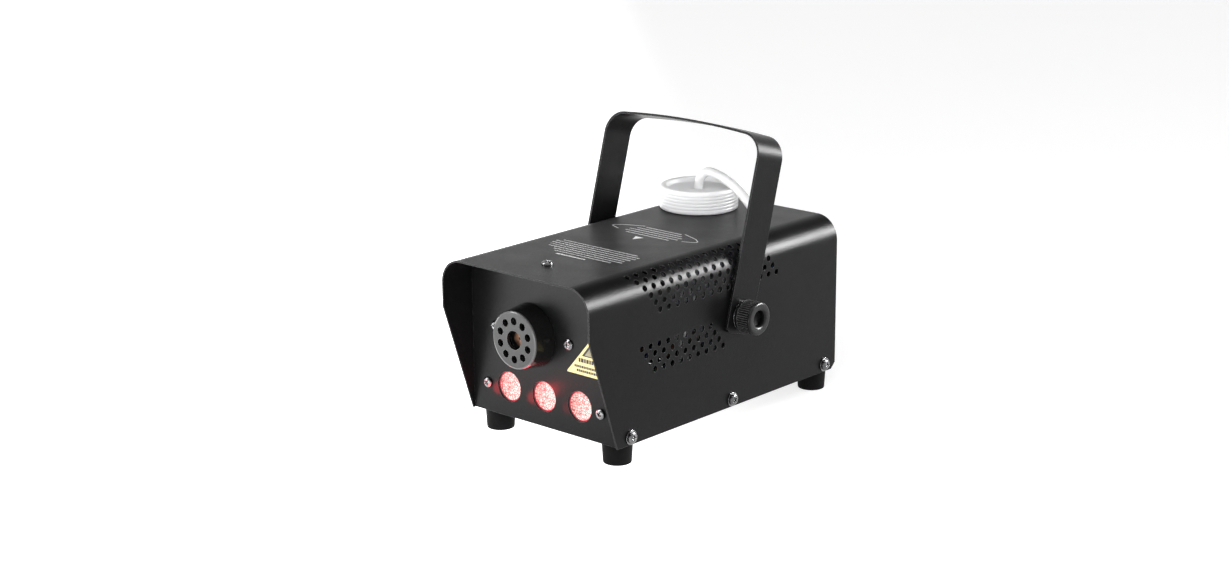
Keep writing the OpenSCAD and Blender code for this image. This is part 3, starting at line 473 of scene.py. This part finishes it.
def rounded(points, radius, steps):
    """Closed outline with each corner replaced by a short curve."""
    made = []
    count = len(points)
    for i, p in enumerate(points):
        before = Vector(points[i - 1]) - Vector(p)
        after = Vector(points[(i + 1) % count]) - Vector(p)
        reach = min(radius, before.length * 0.45, after.length * 0.45)
        start = Vector(p) + before.normalized() * reach
        end = Vector(p) + after.normalized() * reach
        for k in range(steps + 1):
            t = k / steps
            spot = start * (1 - t) ** 2 + Vector(p) * 2 * t * (1 - t) + end * t ** 2
            made.append((spot.x, spot.y))
    return made


def catmull(points, steps):
    """Smooth curve through points."""
    made = []
    for i in range(len(points) - 1):
        a = points[max(i - 1, 0)]
        b = points[i]
        c = points[i + 1]
        d = points[min(i + 2, len(points) - 1)]
        for k in range(steps):
            t = k / steps
            made.append(0.5 * (2 * b + (c - a) * t + (2 * a - 5 * b + 4 * c - d) * t * t
                               + (3 * b - a - 3 * c + d) * t ** 3))
    made.append(points[-1])
    return made


def sweep(bm, points, radius, sides):
    """Round tube along a list of points, closed at both ends."""
    count = len(points)
    side = Vector((1, 0, 0))
    if abs((points[1] - points[0]).normalized().x) > 0.9:
        side = Vector((0, 1, 0))
    rings = []
    for i in range(count):
        along = (points[min(i + 1, count - 1)] - points[max(i - 1, 0)]).normalized()
        side = (side - along * side.dot(along)).normalized()
        other = along.cross(side)
        ring = []
        for k in range(sides):
            angle = 2 * math.pi * k / sides
            spot = points[i] + radius * (side * math.cos(angle) + other * math.sin(angle))
            ring.append(bm.verts.new(spot))
        rings.append(ring)
    for a, b in zip(rings, rings[1:]):
        for k in range(sides):
            bm.faces.new([a[k], a[(k + 1) % sides], b[(k + 1) % sides], b[k]])
    bm.faces.new(rings[0][::-1])
    bm.faces.new(rings[-1])


def plate(bm, outline, low, high, matrix):
    """Flat plate with an outline in its own X and Y, between two heights."""
    bottom = [bm.verts.new(matrix @ Vector((x, y, low))) for x, y in outline]
    top = [bm.verts.new(matrix @ Vector((x, y, high))) for x, y in outline]
    bm.faces.new(bottom[::-1])
    bm.faces.new(top)
    for i in range(len(outline)):
        j = (i + 1) % len(outline)
        bm.faces.new([bottom[i], bottom[j], top[j], top[i]])


def turn_to(axis, place):
    """Matrix that puts a piece's own +Z along an axis at a place."""
    return Matrix.Translation(place) @ Vector(axis).to_track_quat("Z", "Y").to_matrix().to_4x4()


# ---------- CAD nodes that stay: material and softened edges ----------

SLOTS = {s["node"]: s["material_slot"] for s in frame["record"]["subparts"]}

# Width of each node's bevel, in millimetres.
SOFT_EDGES = {
    "inlet_socket": 0.35, "inlet_pins": 0.3, "fuse_drawer": 0.3, "switch_frame": 0.3,
    "switch_paddle": 0.3, "heater_block": 0.5, "heater_bracket": 0.2, "thermostat": 0.3,
    "pump_coil": 0.25, "pump_body": 0.3, "transformer": 0.6, "relay": 0.4, "terminal_block": 0.3,
    "lamp_bracket": 0.2, "lamp_board": 0.2, "lamp_holders": 0.3, "bottle_tray": 0.3,
    "guard_ring_nut": 0.3,
}
BEVEL_LIMIT = math.radians(38)


def dress_cad_nodes():
    for name, node in NODES.items():
        node.data.materials.clear()
        node.data.materials.append(MAT[SLOTS[name]])
        if name in SOFT_EDGES:
            weld = node.modifiers.new("weld", "WELD")
            weld.merge_threshold = CAD_WELD
            bevel = node.modifiers.new("edges", "BEVEL")
            bevel.width = SOFT_EDGES[name] * MM
            bevel.segments = 2
            bevel.limit_method = "ANGLE"
            bevel.angle_limit = BEVEL_LIMIT
            bevel.harden_normals = True
            bevel.use_clamp_overlap = True


dress_cad_nodes()


# ---------- screws ----------

SHAFT_R = 1.5 * MM
SIDE_BAND = 20 * MM


def pan_head(bm, matrix, head_r, head_h, shaft_len, turn):
    """Domed screw head with a tapered cross recess, and its shaft."""
    edge_share, roundness = 0.42, 2.6
    arm_w, arm_l, depth = head_r * 0.15, head_r * 0.56, head_h * 0.62
    c, s = math.cos(turn), math.sin(turn)

    def height(x, y):
        r = min(1.0, math.hypot(x, y) / head_r)
        dome = head_h * (edge_share + (1 - edge_share) * math.sqrt(max(0.0, 1 - r ** roundness)))
        u, v = abs(x * c + y * s), abs(y * c - x * s)
        cut = 0.0
        for along, side in ((u, v), (v, u)):
            width = max(0.0, min(1.0, (arm_w * (1.35 - along / arm_l * 0.6) - side) / (arm_w * 0.5)))
            reach = max(0.0, min(1.0, (arm_l - along) / (arm_l * 0.35)))
            cut = max(cut, width * reach)
        return dome - depth * cut * cut * (3 - 2 * cut)

    shaft = [(head_r, 0), (SHAFT_R, 0), (SHAFT_R, -shaft_len + 0.3 * SHAFT_R),
             (SHAFT_R * 0.7, -shaft_len)]
    shaped_disc(bm, matrix, head_r, height, 64, 16, shaft)


def islands(node):
    """Boxes of a CAD node's separate solids: a list of (lowest corner, highest corner)."""
    bm = bmesh.new()
    bm.from_mesh(NODES[node].data)
    bmesh.ops.remove_doubles(bm, verts=bm.verts, dist=CAD_WELD)
    left, found = set(bm.verts), []
    while left:
        stack, group = [left.pop()], []
        while stack:
            v = stack.pop()
            group.append(v.co.copy())
            for e in v.link_edges:
                w = e.other_vert(v)
                if w in left:
                    left.remove(w)
                    stack.append(w)
        low = Vector([min(c[i] for c in group) for i in range(3)])
        high = Vector([max(c[i] for c in group) for i in range(3)])
        found.append((low, high))
    bm.free()
    return sorted(found, key=lambda f: tuple(round(c, 4) for c in f[0]))


def screws_like(node, head_h, toward, seed):
    """Replaces every screw of a CAD node with a detailed one. toward(middle) gives its outward axis."""
    draw = random.Random(seed)
    bm = bmesh.new()
    for low, high in islands(node):
        centre = (low + high) / 2
        axis = Vector(toward(centre))
        main = max(range(3), key=lambda i: abs(axis[i]))
        across = 1 if main == 0 else 0
        head_r = (high[across] - low[across]) / 2
        tip = high[main] if axis[main] > 0 else low[main]
        place = centre.copy()
        place[main] = tip - head_h * (1 if axis[main] > 0 else -1)
        length = high[main] - low[main] - head_h
        pan_head(bm, turn_to(axis, place), head_r, head_h, length, draw.uniform(0, 1.5))
    slot = SLOTS[node]
    finish_mesh(node + "_detail", bm, MAT[slot], "body", [node], slot, 50)


def hood_screw_axis(centre):
    if centre.z > HOOD_TOP - SIDE_BAND:
        return (0, 0, 1)
    return (1 if centre.x > 0 else -1, 0, 0)


screws_like("hood_screws", 2.2 * MM, hood_screw_axis, 4)
screws_like("panel_screws", 2.1 * MM, lambda c: (0, -1, 0), 5)
screws_like("inlet_screws", 1.8 * MM, lambda c: (0, 1, 0), 6)


# ---------- knobs ----------

GROOVES = 44
GROOVE_DEPTH = 0.55 * MM
GROOVE_ROUND = 0.8
COLLAR_LEN, LIP_LEN = 2.3 * MM, 1.5 * MM
PLAIN_END = 0.3 * MM
BANDS = 6
STUD_HOLE_R = 3.0 * MM
PIT_R = 6.6 * MM
# Radius of a step in the pit; inside it the pit is coloured with painted shade.
PIT_SHADE_R = 5.4 * MM
PIT_DEPTH, STUD_HOLE_DEPTH = 3.9 * MM, 5 * MM


def knob(side, name):
    """Turned knob: plain collar, fine straight grooves, a round lip, and a pit in its face."""
    low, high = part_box(name)
    length = high.x - low.x
    r = (high.z - low.z) / 2
    centre = middle(name)
    start = Vector((low.x if side > 0 else high.x, centre.y, centre.z))
    matrix = turn_to((side, 0, 0), start)
    first, last = COLLAR_LEN, length - LIP_LEN
    collar = [
        (STUD_HOLE_R, 0), (r - 0.9 * MM, 0), (r - 0.5 * MM, 0.4 * MM),
        (r - 0.5 * MM, first - 0.4 * MM), (r - 0.1 * MM, first), (r, first + 0.2 * MM),
    ]
    band_start, band_len = first + 0.35 * MM, last - first - 0.7 * MM
    grip = [(r, band_start + band_len * i / BANDS) for i in range(BANDS + 1)]
    lip = [
        (r, last), (r - 0.02 * MM, length - 0.9 * MM), (r - 0.3 * MM, length - 0.35 * MM),
        (r - 0.9 * MM, length - 0.04 * MM), (r - 1.4 * MM, length),
    ]
    pit = [
        (PIT_R, length), (6.1 * MM, length - 0.15 * MM), (PIT_SHADE_R, length - 0.8 * MM),
        (5.0 * MM, length - 1.6 * MM), (4.8 * MM, length - 3.4 * MM), (4.2 * MM, length - PIT_DEPTH),
        (0, length - PIT_DEPTH), (0, length - STUD_HOLE_DEPTH), (STUD_HOLE_R, length - STUD_HOLE_DEPTH),
    ]

    def in_grip(z):
        return first + PLAIN_END < z < last - PLAIN_END

    def grooved(reach, z, angle):
        if reach < r - 0.02 * MM or not in_grip(z):
            return reach
        wave = 0.5 + 0.5 * math.cos(angle * GROOVES)
        return reach - GROOVE_DEPTH * (1 - wave ** GROOVE_ROUND)

    bm = bmesh.new()
    lathe(bm, collar + grip + lip + pit, matrix, GROOVES * 8, grooved)
    back = matrix.inverted()
    for face in bm.faces:
        spot = back @ face.calc_center_median()
        reach = math.hypot(spot.x, spot.y)
        knurled = in_grip(spot.z) and reach > r - 1.2 * GROOVE_DEPTH
        # Pit and groove bottoms get painted shade, ridge tops a painted highlight.
        if reach < PIT_SHADE_R or knurled and reach < r - 0.5 * GROOVE_DEPTH:
            face.material_index = 1
        elif knurled:
            face.material_index = 2
    finish_mesh(name + "_turned", bm, [MAT["knob_black"], KNOB_PAINTED_SHADE, KNOB_RIDGE_HIGHLIGHT], name, [name],
                "knob_black", 40)


knob(-1, "knob_left")
knob(1, "knob_right")


# ---------- bottle cap and hose ----------

CAP_RIBS, RIB_SAMPLES, RIB_DEPTH = 6, 8, 0.25 * MM
CAP_INNER_R, CAP_HOLE_R = 24.4 * MM, 5.0 * MM
CAP_TOP_SHEET = 1.8 * MM


def bottle_cap():
    """Screw cap with faint ribs, a thin round rim, and a sunk top."""
    low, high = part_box("bottle_cap")
    centre = middle("bottle_cap")
    out = (high.x - low.x) / 2
    tall = high.z - low.z
    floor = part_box("cap_bushing")[1].z - low.z
    under = floor - CAP_TOP_SHEET
    pitch = (tall - 2 * MM) / CAP_RIBS
    outline = [(CAP_INNER_R, 0), (out - 0.7 * MM, 0), (out - RIB_DEPTH, 0.3 * MM)]
    for i in range(CAP_RIBS * RIB_SAMPLES + 1):
        wave = abs(math.sin(math.pi * i / RIB_SAMPLES)) ** 0.7
        outline.append((out - RIB_DEPTH + RIB_DEPTH * wave, 0.6 * MM + pitch * i / RIB_SAMPLES))
    outline += [
        (out - 0.45 * MM, tall - 0.8 * MM), (out - 0.75 * MM, tall - 0.35 * MM),
        (out - 1.2 * MM, tall - 0.08 * MM), (out - 1.7 * MM, tall),
        (out - 3.6 * MM, tall - 0.02 * MM), (out - 4.2 * MM, tall - 0.2 * MM),
        (out - 4.7 * MM, tall - 0.6 * MM), (out - 5.2 * MM, floor + 0.6 * MM),
        (out - 5.7 * MM, floor + 0.15 * MM), (out - 6.5 * MM, floor),
        (CAP_HOLE_R, floor), (CAP_HOLE_R, under), (24.0 * MM, under),
        (CAP_INNER_R, floor - 2.2 * MM),
    ]
    bm = bmesh.new()
    lathe(bm, outline, Matrix.Translation((centre.x, centre.y, low.z)), 128)
    finish_mesh("screw_cap", bm, MAT["cap_white"], "cap", ["bottle_cap"], "cap_white", 40)


bottle_cap()

HOSE_R, FEED_R = 3.1 * MM, 2 * MM
# Points of each route, in millimetres.
HOSE_ROUTE = [
    (-25.7, 83.2, 26), (-25.7, 83.2, 62), (-25.7, 83.2, 98), (-25.7, 83.2, 126), (-25.4, 83.14, 134),
    (-21.7, 82.5, 140), (-14.3, 81.1, 143.1), (-0.9, 78.6, 141.5), (12.2, 76.2, 136.7),
    (23.8, 74, 129.7), (29.6, 72.9, 124.3), (31.6, 72.5, 117.5), (31.5, 72.5, 108), (30.8, 73, 96),
    (30, 75, 80), (29.5, 77.5, 62), (29.8, 77.5, 50), (30, 75, 43.8), (30, 71, 41.6), (30, 66, 41.6),
]
FEED_ROUTE = [
    (30, 9, 41.6), (30.5, 2, 42), (35, -7, 47), (40, -10, 58), (39, -4, 68), (33, 9, 76),
    (20, 21, 78), (4, 26, 77), (-6, 23, 73.5), (-8.9, 17, 71.8), (-8.9, 11, 71.8),
]


def hoses():
    for name, route, radius in (("supply_hose", HOSE_ROUTE, HOSE_R), ("feed_tube", FEED_ROUTE, FEED_R)):
        bm = bmesh.new()
        points = catmull([Vector(p) * MM for p in route], 12)
        sweep(bm, points, radius, 28)
        finish_mesh(name + "_smooth", bm, MAT["hose_clear"], "body", [name], "hose_clear", 60)


hoses()


# ---------- feet ----------

FOOT_BOTTOM_R = 8.85 * MM
FOOT_HOLE_R, COUNTERBORE_R, COUNTERBORE_DEPTH = 1.7 * MM, 5.0 * MM, 6 * MM


def foot(name):
    low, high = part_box(name)
    centre = middle(name)
    tall = high.z - low.z
    top = (high.x - low.x) / 2
    outline = rounded([
        (FOOT_HOLE_R, tall), (top, tall), (top - 0.2 * MM, tall - 3 * MM), (FOOT_BOTTOM_R, 0),
        (COUNTERBORE_R, 0), (COUNTERBORE_R, COUNTERBORE_DEPTH), (FOOT_HOLE_R, COUNTERBORE_DEPTH),
    ], 0.7 * MM, 4)
    bm = bmesh.new()
    lathe(bm, outline, Matrix.Translation((centre.x, centre.y, low.z)), 80)
    finish_mesh(name + "_moulded", bm, MAT["rubber_black"], "body", [name], "rubber_black", 40)


for foot_name in ("foot_front_left", "foot_front_right", "foot_rear_left", "foot_rear_right"):
    foot(foot_name)


# ---------- lamps ----------

LENS_CELL = 1.4 * MM
ROW_SHARE = 0.866
DOME_HEIGHT, DOME_REACH = 0.42 * MM, 0.62
RIM_W, RIM_SLOPE = 1.3 * MM, 0.5 * MM
FIELD_DEPTH = 0.95 * MM


def lamp(name):
    """Lens with a smooth rim and a sunk field of small domes in a hexagonal pattern."""
    low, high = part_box(name)
    centre = middle(name)
    r = (high.x - low.x) / 2
    front = PANEL_Y - low.y
    back = high.y - PANEL_Y
    field_r = r - RIM_W
    rim_r = field_r + RIM_SLOPE

    def dome(x, y):
        best = r
        row = round(y / (LENS_CELL * ROW_SHARE))
        for j in (row - 1, row, row + 1):
            shift = 0.5 * LENS_CELL if j % 2 else 0.0
            column = round((x - shift) / LENS_CELL)
            for k in (column - 1, column, column + 1):
                away = math.hypot(x - k * LENS_CELL - shift, y - j * LENS_CELL * ROW_SHARE)
                best = min(best, away)
        return DOME_HEIGHT * max(0.0, 1 - (best / (DOME_REACH * LENS_CELL)) ** 2)

    def height(x, y):
        d = math.hypot(x, y)
        if d > rim_r:
            return front - 0.45 * MM * ((d - rim_r) / (r - rim_r)) ** 3
        if d > field_r:
            return front - (rim_r - d)
        return front - FIELD_DEPTH + dome(x, y)

    bm = bmesh.new()
    around, out = 144, 44
    matrix = turn_to((0, -1, 0), (centre.x, PANEL_Y, centre.z))
    barrel = [(r, front - 0.6 * MM), (r, -5 * MM), (r - 0.2 * MM, -5.3 * MM), (4 * MM, -back)]
    for i, faces in enumerate(shaped_disc(bm, matrix, r, height, around, out, barrel)):
        for face in faces:
            face.material_index = 1 if i >= out * field_r / r else 0
    finish_mesh(name + "_domed", bm, [MAT["lamp_lens"], LAMP_RIM], "body", [name], "lamp_lens", 60)


LAMPS = ("lamp_lens_left", "lamp_lens_middle", "lamp_lens_right")
for lamp_name in LAMPS:
    lamp(lamp_name)


# ---------- sticker and prints ----------

FILM = 0.15 * MM
INK = 0.03 * MM
SIGN_INK = 0.02 * MM

# Rows of bars: how high each starts and how tall it is, as shares of the triangle's height; its
# length, as a share of the triangle's width there; and its shortest and longest bar, in millimetres.
STICKER_ROWS = (
    (0.35, 0.115, 0.75, 1.3, 2.2),
    (0.19, 0.07, 0.82, 0.9, 1.6),
    (0.075, 0.07, 0.62, 0.9, 1.6),
)


def triangle(middle_x, low_z, width, tall, corner):
    """Triangle with its point up and round corners, in X and Z."""
    points = [(middle_x - width / 2, low_z), (middle_x + width / 2, low_z), (middle_x, low_z + tall)]
    return rounded(points, corner, 6)


def sticker():
    low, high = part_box("warning_sticker")
    width, tall = high.x - low.x, high.z - low.z
    centre_x = (low.x + high.x) / 2
    on_panel = Matrix.Translation((0, PANEL_Y, 0)) @ Matrix.Rotation(math.radians(90), 4, "X")

    bm = bmesh.new()
    plate(bm, triangle(centre_x, low.z, width, tall, 1.6 * MM), 0, FILM - INK, on_panel)
    finish_mesh("sticker_film", bm, MAT["sticker_yellow"], "body", ["warning_sticker"],
                "sticker_yellow")

    bm = bmesh.new()
    sign = triangle(centre_x, low.z + tall * 0.53, width * 0.35, tall * 0.37, 0.3 * MM)
    plate(bm, sign, FILM - INK, FILM, on_panel)
    draw = random.Random(8)
    for level, share, span, shortest, longest in STICKER_ROWS:
        z = low.z + tall * level
        top = z + tall * share
        half = width * (1 - level) * span / 2
        x = centre_x - half
        while x < centre_x + half - shortest * MM:
            end = min(x + draw.uniform(shortest, longest) * MM, centre_x + half)
            plate(bm, [(x, z), (end, z), (end, top), (x, top)], FILM - INK, FILM, on_panel)
            x = end + shortest * 0.33 * MM
    finish_mesh("sticker_ink", bm, STICKER_BLACK, "body", slot="sticker_yellow")

    bm = bmesh.new()
    sign_middle = triangle(centre_x, low.z + tall * 0.56, width * 0.23, tall * 0.24, 0.2 * MM)
    plate(bm, sign_middle, FILM, FILM + SIGN_INK, on_panel)
    finish_mesh("sticker_sign", bm, STICKER_OLIVE, "body", slot="sticker_yellow")


sticker()


PRINT_T = 0.04 * MM
SMALL_PRINT = (0.35 * MM, 0.9 * MM, 0.4 * MM)
LARGE_PRINT = (0.7 * MM, 1.5 * MM, 0.45 * MM)


def on_top(bm, outline):
    """Thin printed shape on the hood's top."""
    plate(bm, outline, HOOD_TOP, HOOD_TOP + PRINT_T, Matrix.Identity(4))


def bars(bm, x_from, x_to, y, tall, draw, print_size):
    """One row of plain bars. print_size has the shortest and longest bar, and the space."""
    shortest, longest, space = print_size
    x = x_from
    while x < x_to - shortest:
        end = min(x + draw.uniform(shortest, longest), x_to)
        on_top(bm, [(x, y), (end, y), (end, y + tall), (x, y + tall)])
        x = end + space


def stroke(bm, points, width):
    """Thin printed line along points."""
    for a, b in zip(points, points[1:]):
        a, b = Vector(a), Vector(b)
        along = (b - a).normalized()
        side = Vector((-along.y, along.x)) * width / 2
        a, b = a - along * width * 0.3, b + along * width * 0.3
        on_top(bm, [tuple(a - side), tuple(b - side), tuple(b + side), tuple(a + side)])


# Rows of print, back to front in each block, in millimetres: the ends of each row in the front
# block, and half the length of each row in the rear one.
FRONT_ROWS = ((-33, 29), (-36.5, 34), (-36, 34), (-34, 33), (-32, 32), (-24, 33), (-20, 27))
REAR_ROWS = (15, 19, 22, 22, 18)
FRONT_BLOCK_Y, FRONT_ROW_PITCH = -41.2, 3.75
REAR_BLOCK_Y, REAR_ROW_PITCH = 17.2, 4.1
HEADING_Y, HEADING_ENDS = -68.6, (-14, 10)
SMALL_TALL, LARGE_TALL = 1.25 * MM, 1.7 * MM
FRAME_HALF = ((-17, 19.5), (-30, 14.5), (-35, 10.5), (-35.5, 9), (-34.5, 7.5), (-27, 4.5))
FRAME_MIDDLE, FRAME_LINE = -0.5 * MM, 0.5 * MM
ARROW = ((-4.8, -4.2), (-1.4, -11), (2.0, -4.2))


def top_prints():
    """Rows of plain bars where the real hood has small print, an open frame round the rear
    block, and a small arrow."""
    draw = random.Random(11)
    bm = bmesh.new()
    for i, (left, right) in enumerate(FRONT_ROWS):
        y = (FRONT_BLOCK_Y - FRONT_ROW_PITCH * i) * MM
        bars(bm, left * MM, right * MM, y, SMALL_TALL, draw, SMALL_PRINT)
    for i, half in enumerate(REAR_ROWS):
        y = (REAR_BLOCK_Y - REAR_ROW_PITCH * i) * MM
        bars(bm, -half * MM, half * MM, y, SMALL_TALL, draw, SMALL_PRINT)
    finish_mesh("top_print_grey", bm, PRINT_GREY, "body", slot="hood_coat")
    bm = bmesh.new()
    left, right = HEADING_ENDS
    bars(bm, left * MM, right * MM, HEADING_Y * MM, LARGE_TALL, draw, LARGE_PRINT)
    for way in (1, -1):
        points = [(way * x * MM + FRAME_MIDDLE, y * MM) for x, y in FRAME_HALF]
        stroke(bm, points, FRAME_LINE)
    on_top(bm, [(x * MM, y * MM) for x, y in ARROW])
    finish_mesh("top_print_white", bm, PRINT_WHITE, "body", slot="hood_coat")


top_prints()


# ---------- wiring ----------

LEAD_R = 1.1 * MM
# Routes of the leads, in millimetres, and their colours.
LEADS = [
    [(24, 91, 50), (24, 84, 56), (10, 70, 60), (4, 40, 50), (-8, 14, 42), (-12, -4, 33), (-12, -6.5, 31)],
    [(34, 91, 88), (33, 88, 84), (14, 78, 70), (6, 44, 58), (-2, 16, 44), (-2, -4, 33), (-2, -6.5, 31)],
    [(-20.9, 17, 71.8), (-21, 24, 70), (-24, 28, 58), (-20, 18, 44), (-17, -2, 34), (-17, -6.5, 31)],
    [(3.1, 17, 71.8), (3, 26, 66), (2, 26, 54), (4, 12, 42), (8, -2, 34), (8, -6.5, 31)],
    [(30, 34, 56), (28, 24, 60), (20, 10, 50), (14, -2, 36), (13, -6.5, 31)],
    [(46, -78, 34), (50, -70, 34), (52, -40, 32), (50, -14, 34), (34, 2, 34), (18, 0, 34), (17, -6.5, 31)],
]
LEAD_ORDER = ("brown", "blue", "black", "black", "brown", "blue")
LEAD_COLOURS = {
    "brown": ((0.08, 0.035, 0.015), (0.11, 0.05, 0.022)),
    "blue": ((0.015, 0.04, 0.14), (0.02, 0.05, 0.18)),
    "black": ((0.010, 0.010, 0.010), (0.016, 0.016, 0.016)),
}


def wiring():
    bm = bmesh.new()
    names = list(LEAD_COLOURS)
    for route, colour in zip(LEADS, LEAD_ORDER):
        before = set(bm.faces)
        sweep(bm, catmull([Vector(p) * MM for p in route], 8), LEAD_R, 14)
        for face in set(bm.faces) - before:
            face.material_index = names.index(colour)
    made = [surface("lead_" + c, *LEAD_COLOURS[c], (0.3, 0.42), 900, 0.00001) for c in names]
    finish_mesh("leads", bm, made, "body", ["wiring"], "black_plastic", 60)


wiring()


# ---------- stage and light ----------

# The floor's glow rises along this direction, between two distances in metres.
TO_FRONT_LEFT = (-0.707, -0.707, 0)
GLOW_FROM, GLOW_TO = -0.12, 0.60
GLOW_LOW, GLOW_HIGH = 0.72, 9.0

# The sky falls from one strength to the other, between two heights on its sphere.
SKY_FROM, SKY_TO = 0.30, 0.72
HORIZON, ZENITH = 1.15, 0.05

FLOOR_HALF = 8
AIM = Vector((0, 0, 0.08))
RED_LIGHT = (1.0, 0.01, 0.03)
HALO_POWER, GLINT_POWER = 0.022, 0.03
HALO_SHARES = (1.0, 0.9, 0.3)


def floor_paint():
    """White floor that glows more towards the front left, for the front panel's reflection."""
    n = Nodes("floor_paint")
    n.link(n.mix(n.spread(n.noise(3), 0, 1), (0.40, 0.40, 0.40), (0.38, 0.38, 0.38)),
           n.shader.inputs["Base Color"])
    reach = n.add("ShaderNodeVectorMath", operation="DOT_PRODUCT")
    n.link(n.place, reach.inputs[0])
    reach.inputs[1].default_value = TO_FRONT_LEFT
    rise = n.add("ShaderNodeMapRange", interpolation_type="SMOOTHSTEP")
    n.link(reach.outputs["Value"], rise.inputs["Value"])
    set_range(rise, GLOW_FROM, GLOW_TO, GLOW_LOW, GLOW_HIGH)
    n.link(rise.outputs["Result"], n.shader.inputs["Emission Strength"])
    n.shader.inputs["Emission Color"].default_value = (1, 1, 1, 1)
    n.set(Roughness=0.7, Specular_IOR_Level=0.2)
    return n.material


def studio():
    """Flat white floor, and a sky that is white near the horizon and dark overhead."""
    bm = bmesh.new()
    bmesh.ops.create_grid(bm, x_segments=1, y_segments=1, size=FLOOR_HALF)
    mesh = bpy.data.meshes.new("studio_floor")
    bm.to_mesh(mesh)
    bm.free()
    mesh.materials.append(floor_paint())
    floor = bpy.data.objects.new("studio_floor", mesh)
    bpy.context.scene.collection.objects.link(floor)

    world = bpy.data.worlds.new("studio_world")
    world.use_nodes = True
    tree = world.node_tree
    place = tree.nodes.new("ShaderNodeTexCoord")
    parts = tree.nodes.new("ShaderNodeSeparateXYZ")
    height = tree.nodes.new("ShaderNodeMapRange")
    height.interpolation_type = "SMOOTHSTEP"
    set_range(height, SKY_FROM, SKY_TO, HORIZON, ZENITH)
    tree.links.new(place.outputs["Generated"], parts.inputs[0])
    tree.links.new(parts.outputs["Z"], height.inputs["Value"])
    sky = tree.nodes["Background"]
    sky.inputs["Color"].default_value = (1, 1, 1, 1)
    tree.links.new(height.outputs["Result"], sky.inputs["Strength"])
    bpy.context.scene.world = world


def softbox(name, azimuth, elevation, distance, size, radiance, matt=True, gloss=True):
    """Rectangular light that faces the object, placed by angles as seen from the object.
    matt and gloss say which kinds of reflection it takes part in."""
    width, tall = size
    data = bpy.data.lights.new(name, "AREA")
    data.shape = "RECTANGLE"
    data.size, data.size_y = width, tall
    data.energy = radiance * math.pi * width * tall
    light = bpy.data.objects.new(name, data)
    a, e = math.radians(azimuth), math.radians(elevation)
    out = Vector((math.sin(a) * math.cos(e), -math.cos(a) * math.cos(e), math.sin(e)))
    light.matrix_world = turn_to(out, AIM + out * distance)
    light.visible_camera = False
    light.visible_diffuse, light.visible_glossy = matt, gloss
    bpy.context.scene.collection.objects.link(light)


def lamp_glow(name, sideways, out, up, soft, power):
    """Small red light in front of a lens, seen only as a reflection."""
    data = bpy.data.lights.new(name + "_glow", "POINT")
    data.energy = power
    data.color = RED_LIGHT
    data.shadow_soft_size = soft
    light = bpy.data.objects.new(data.name, data)
    centre = middle(name)
    light.location = (centre.x + sideways, PANEL_Y - out, centre.z + up)
    light.visible_camera = False
    light.visible_diffuse = False
    bpy.context.scene.collection.objects.link(light)


studio()
softbox("overhead", azimuth=0, elevation=86, distance=1.3, size=(0.9, 0.9), radiance=4.8, matt=False)
softbox("fill_left", azimuth=-40, elevation=42, distance=1.8, size=(0.9, 0.9), radiance=14, matt=False)
softbox("rim_right", azimuth=141, elevation=20.5, distance=1.6, size=(0.75, 0.5), radiance=98,
        matt=False)
softbox("front_low", azimuth=-41, elevation=10, distance=1.7, size=(0.4, 0.4), radiance=26, matt=False)
softbox("key_soft", azimuth=34, elevation=40, distance=1.7, size=(1.3, 1.1), radiance=6.4, gloss=False)
softbox("fill_right", azimuth=78, elevation=14, distance=1.7, size=(1.0, 0.8), radiance=2.6,
        gloss=False)
for lamp_name, share in zip(LAMPS, HALO_SHARES):
    lamp_glow(lamp_name, sideways=-14.5 * MM, out=5 * MM, up=-5 * MM, soft=4.5 * MM,
              power=HALO_POWER * share)
lamp_glow("lamp_lens_middle", sideways=-2 * MM, out=7 * MM, up=2 * MM, soft=4 * MM, power=GLINT_POWER)

bpy.context.scene.view_settings.view_transform = "Standard"
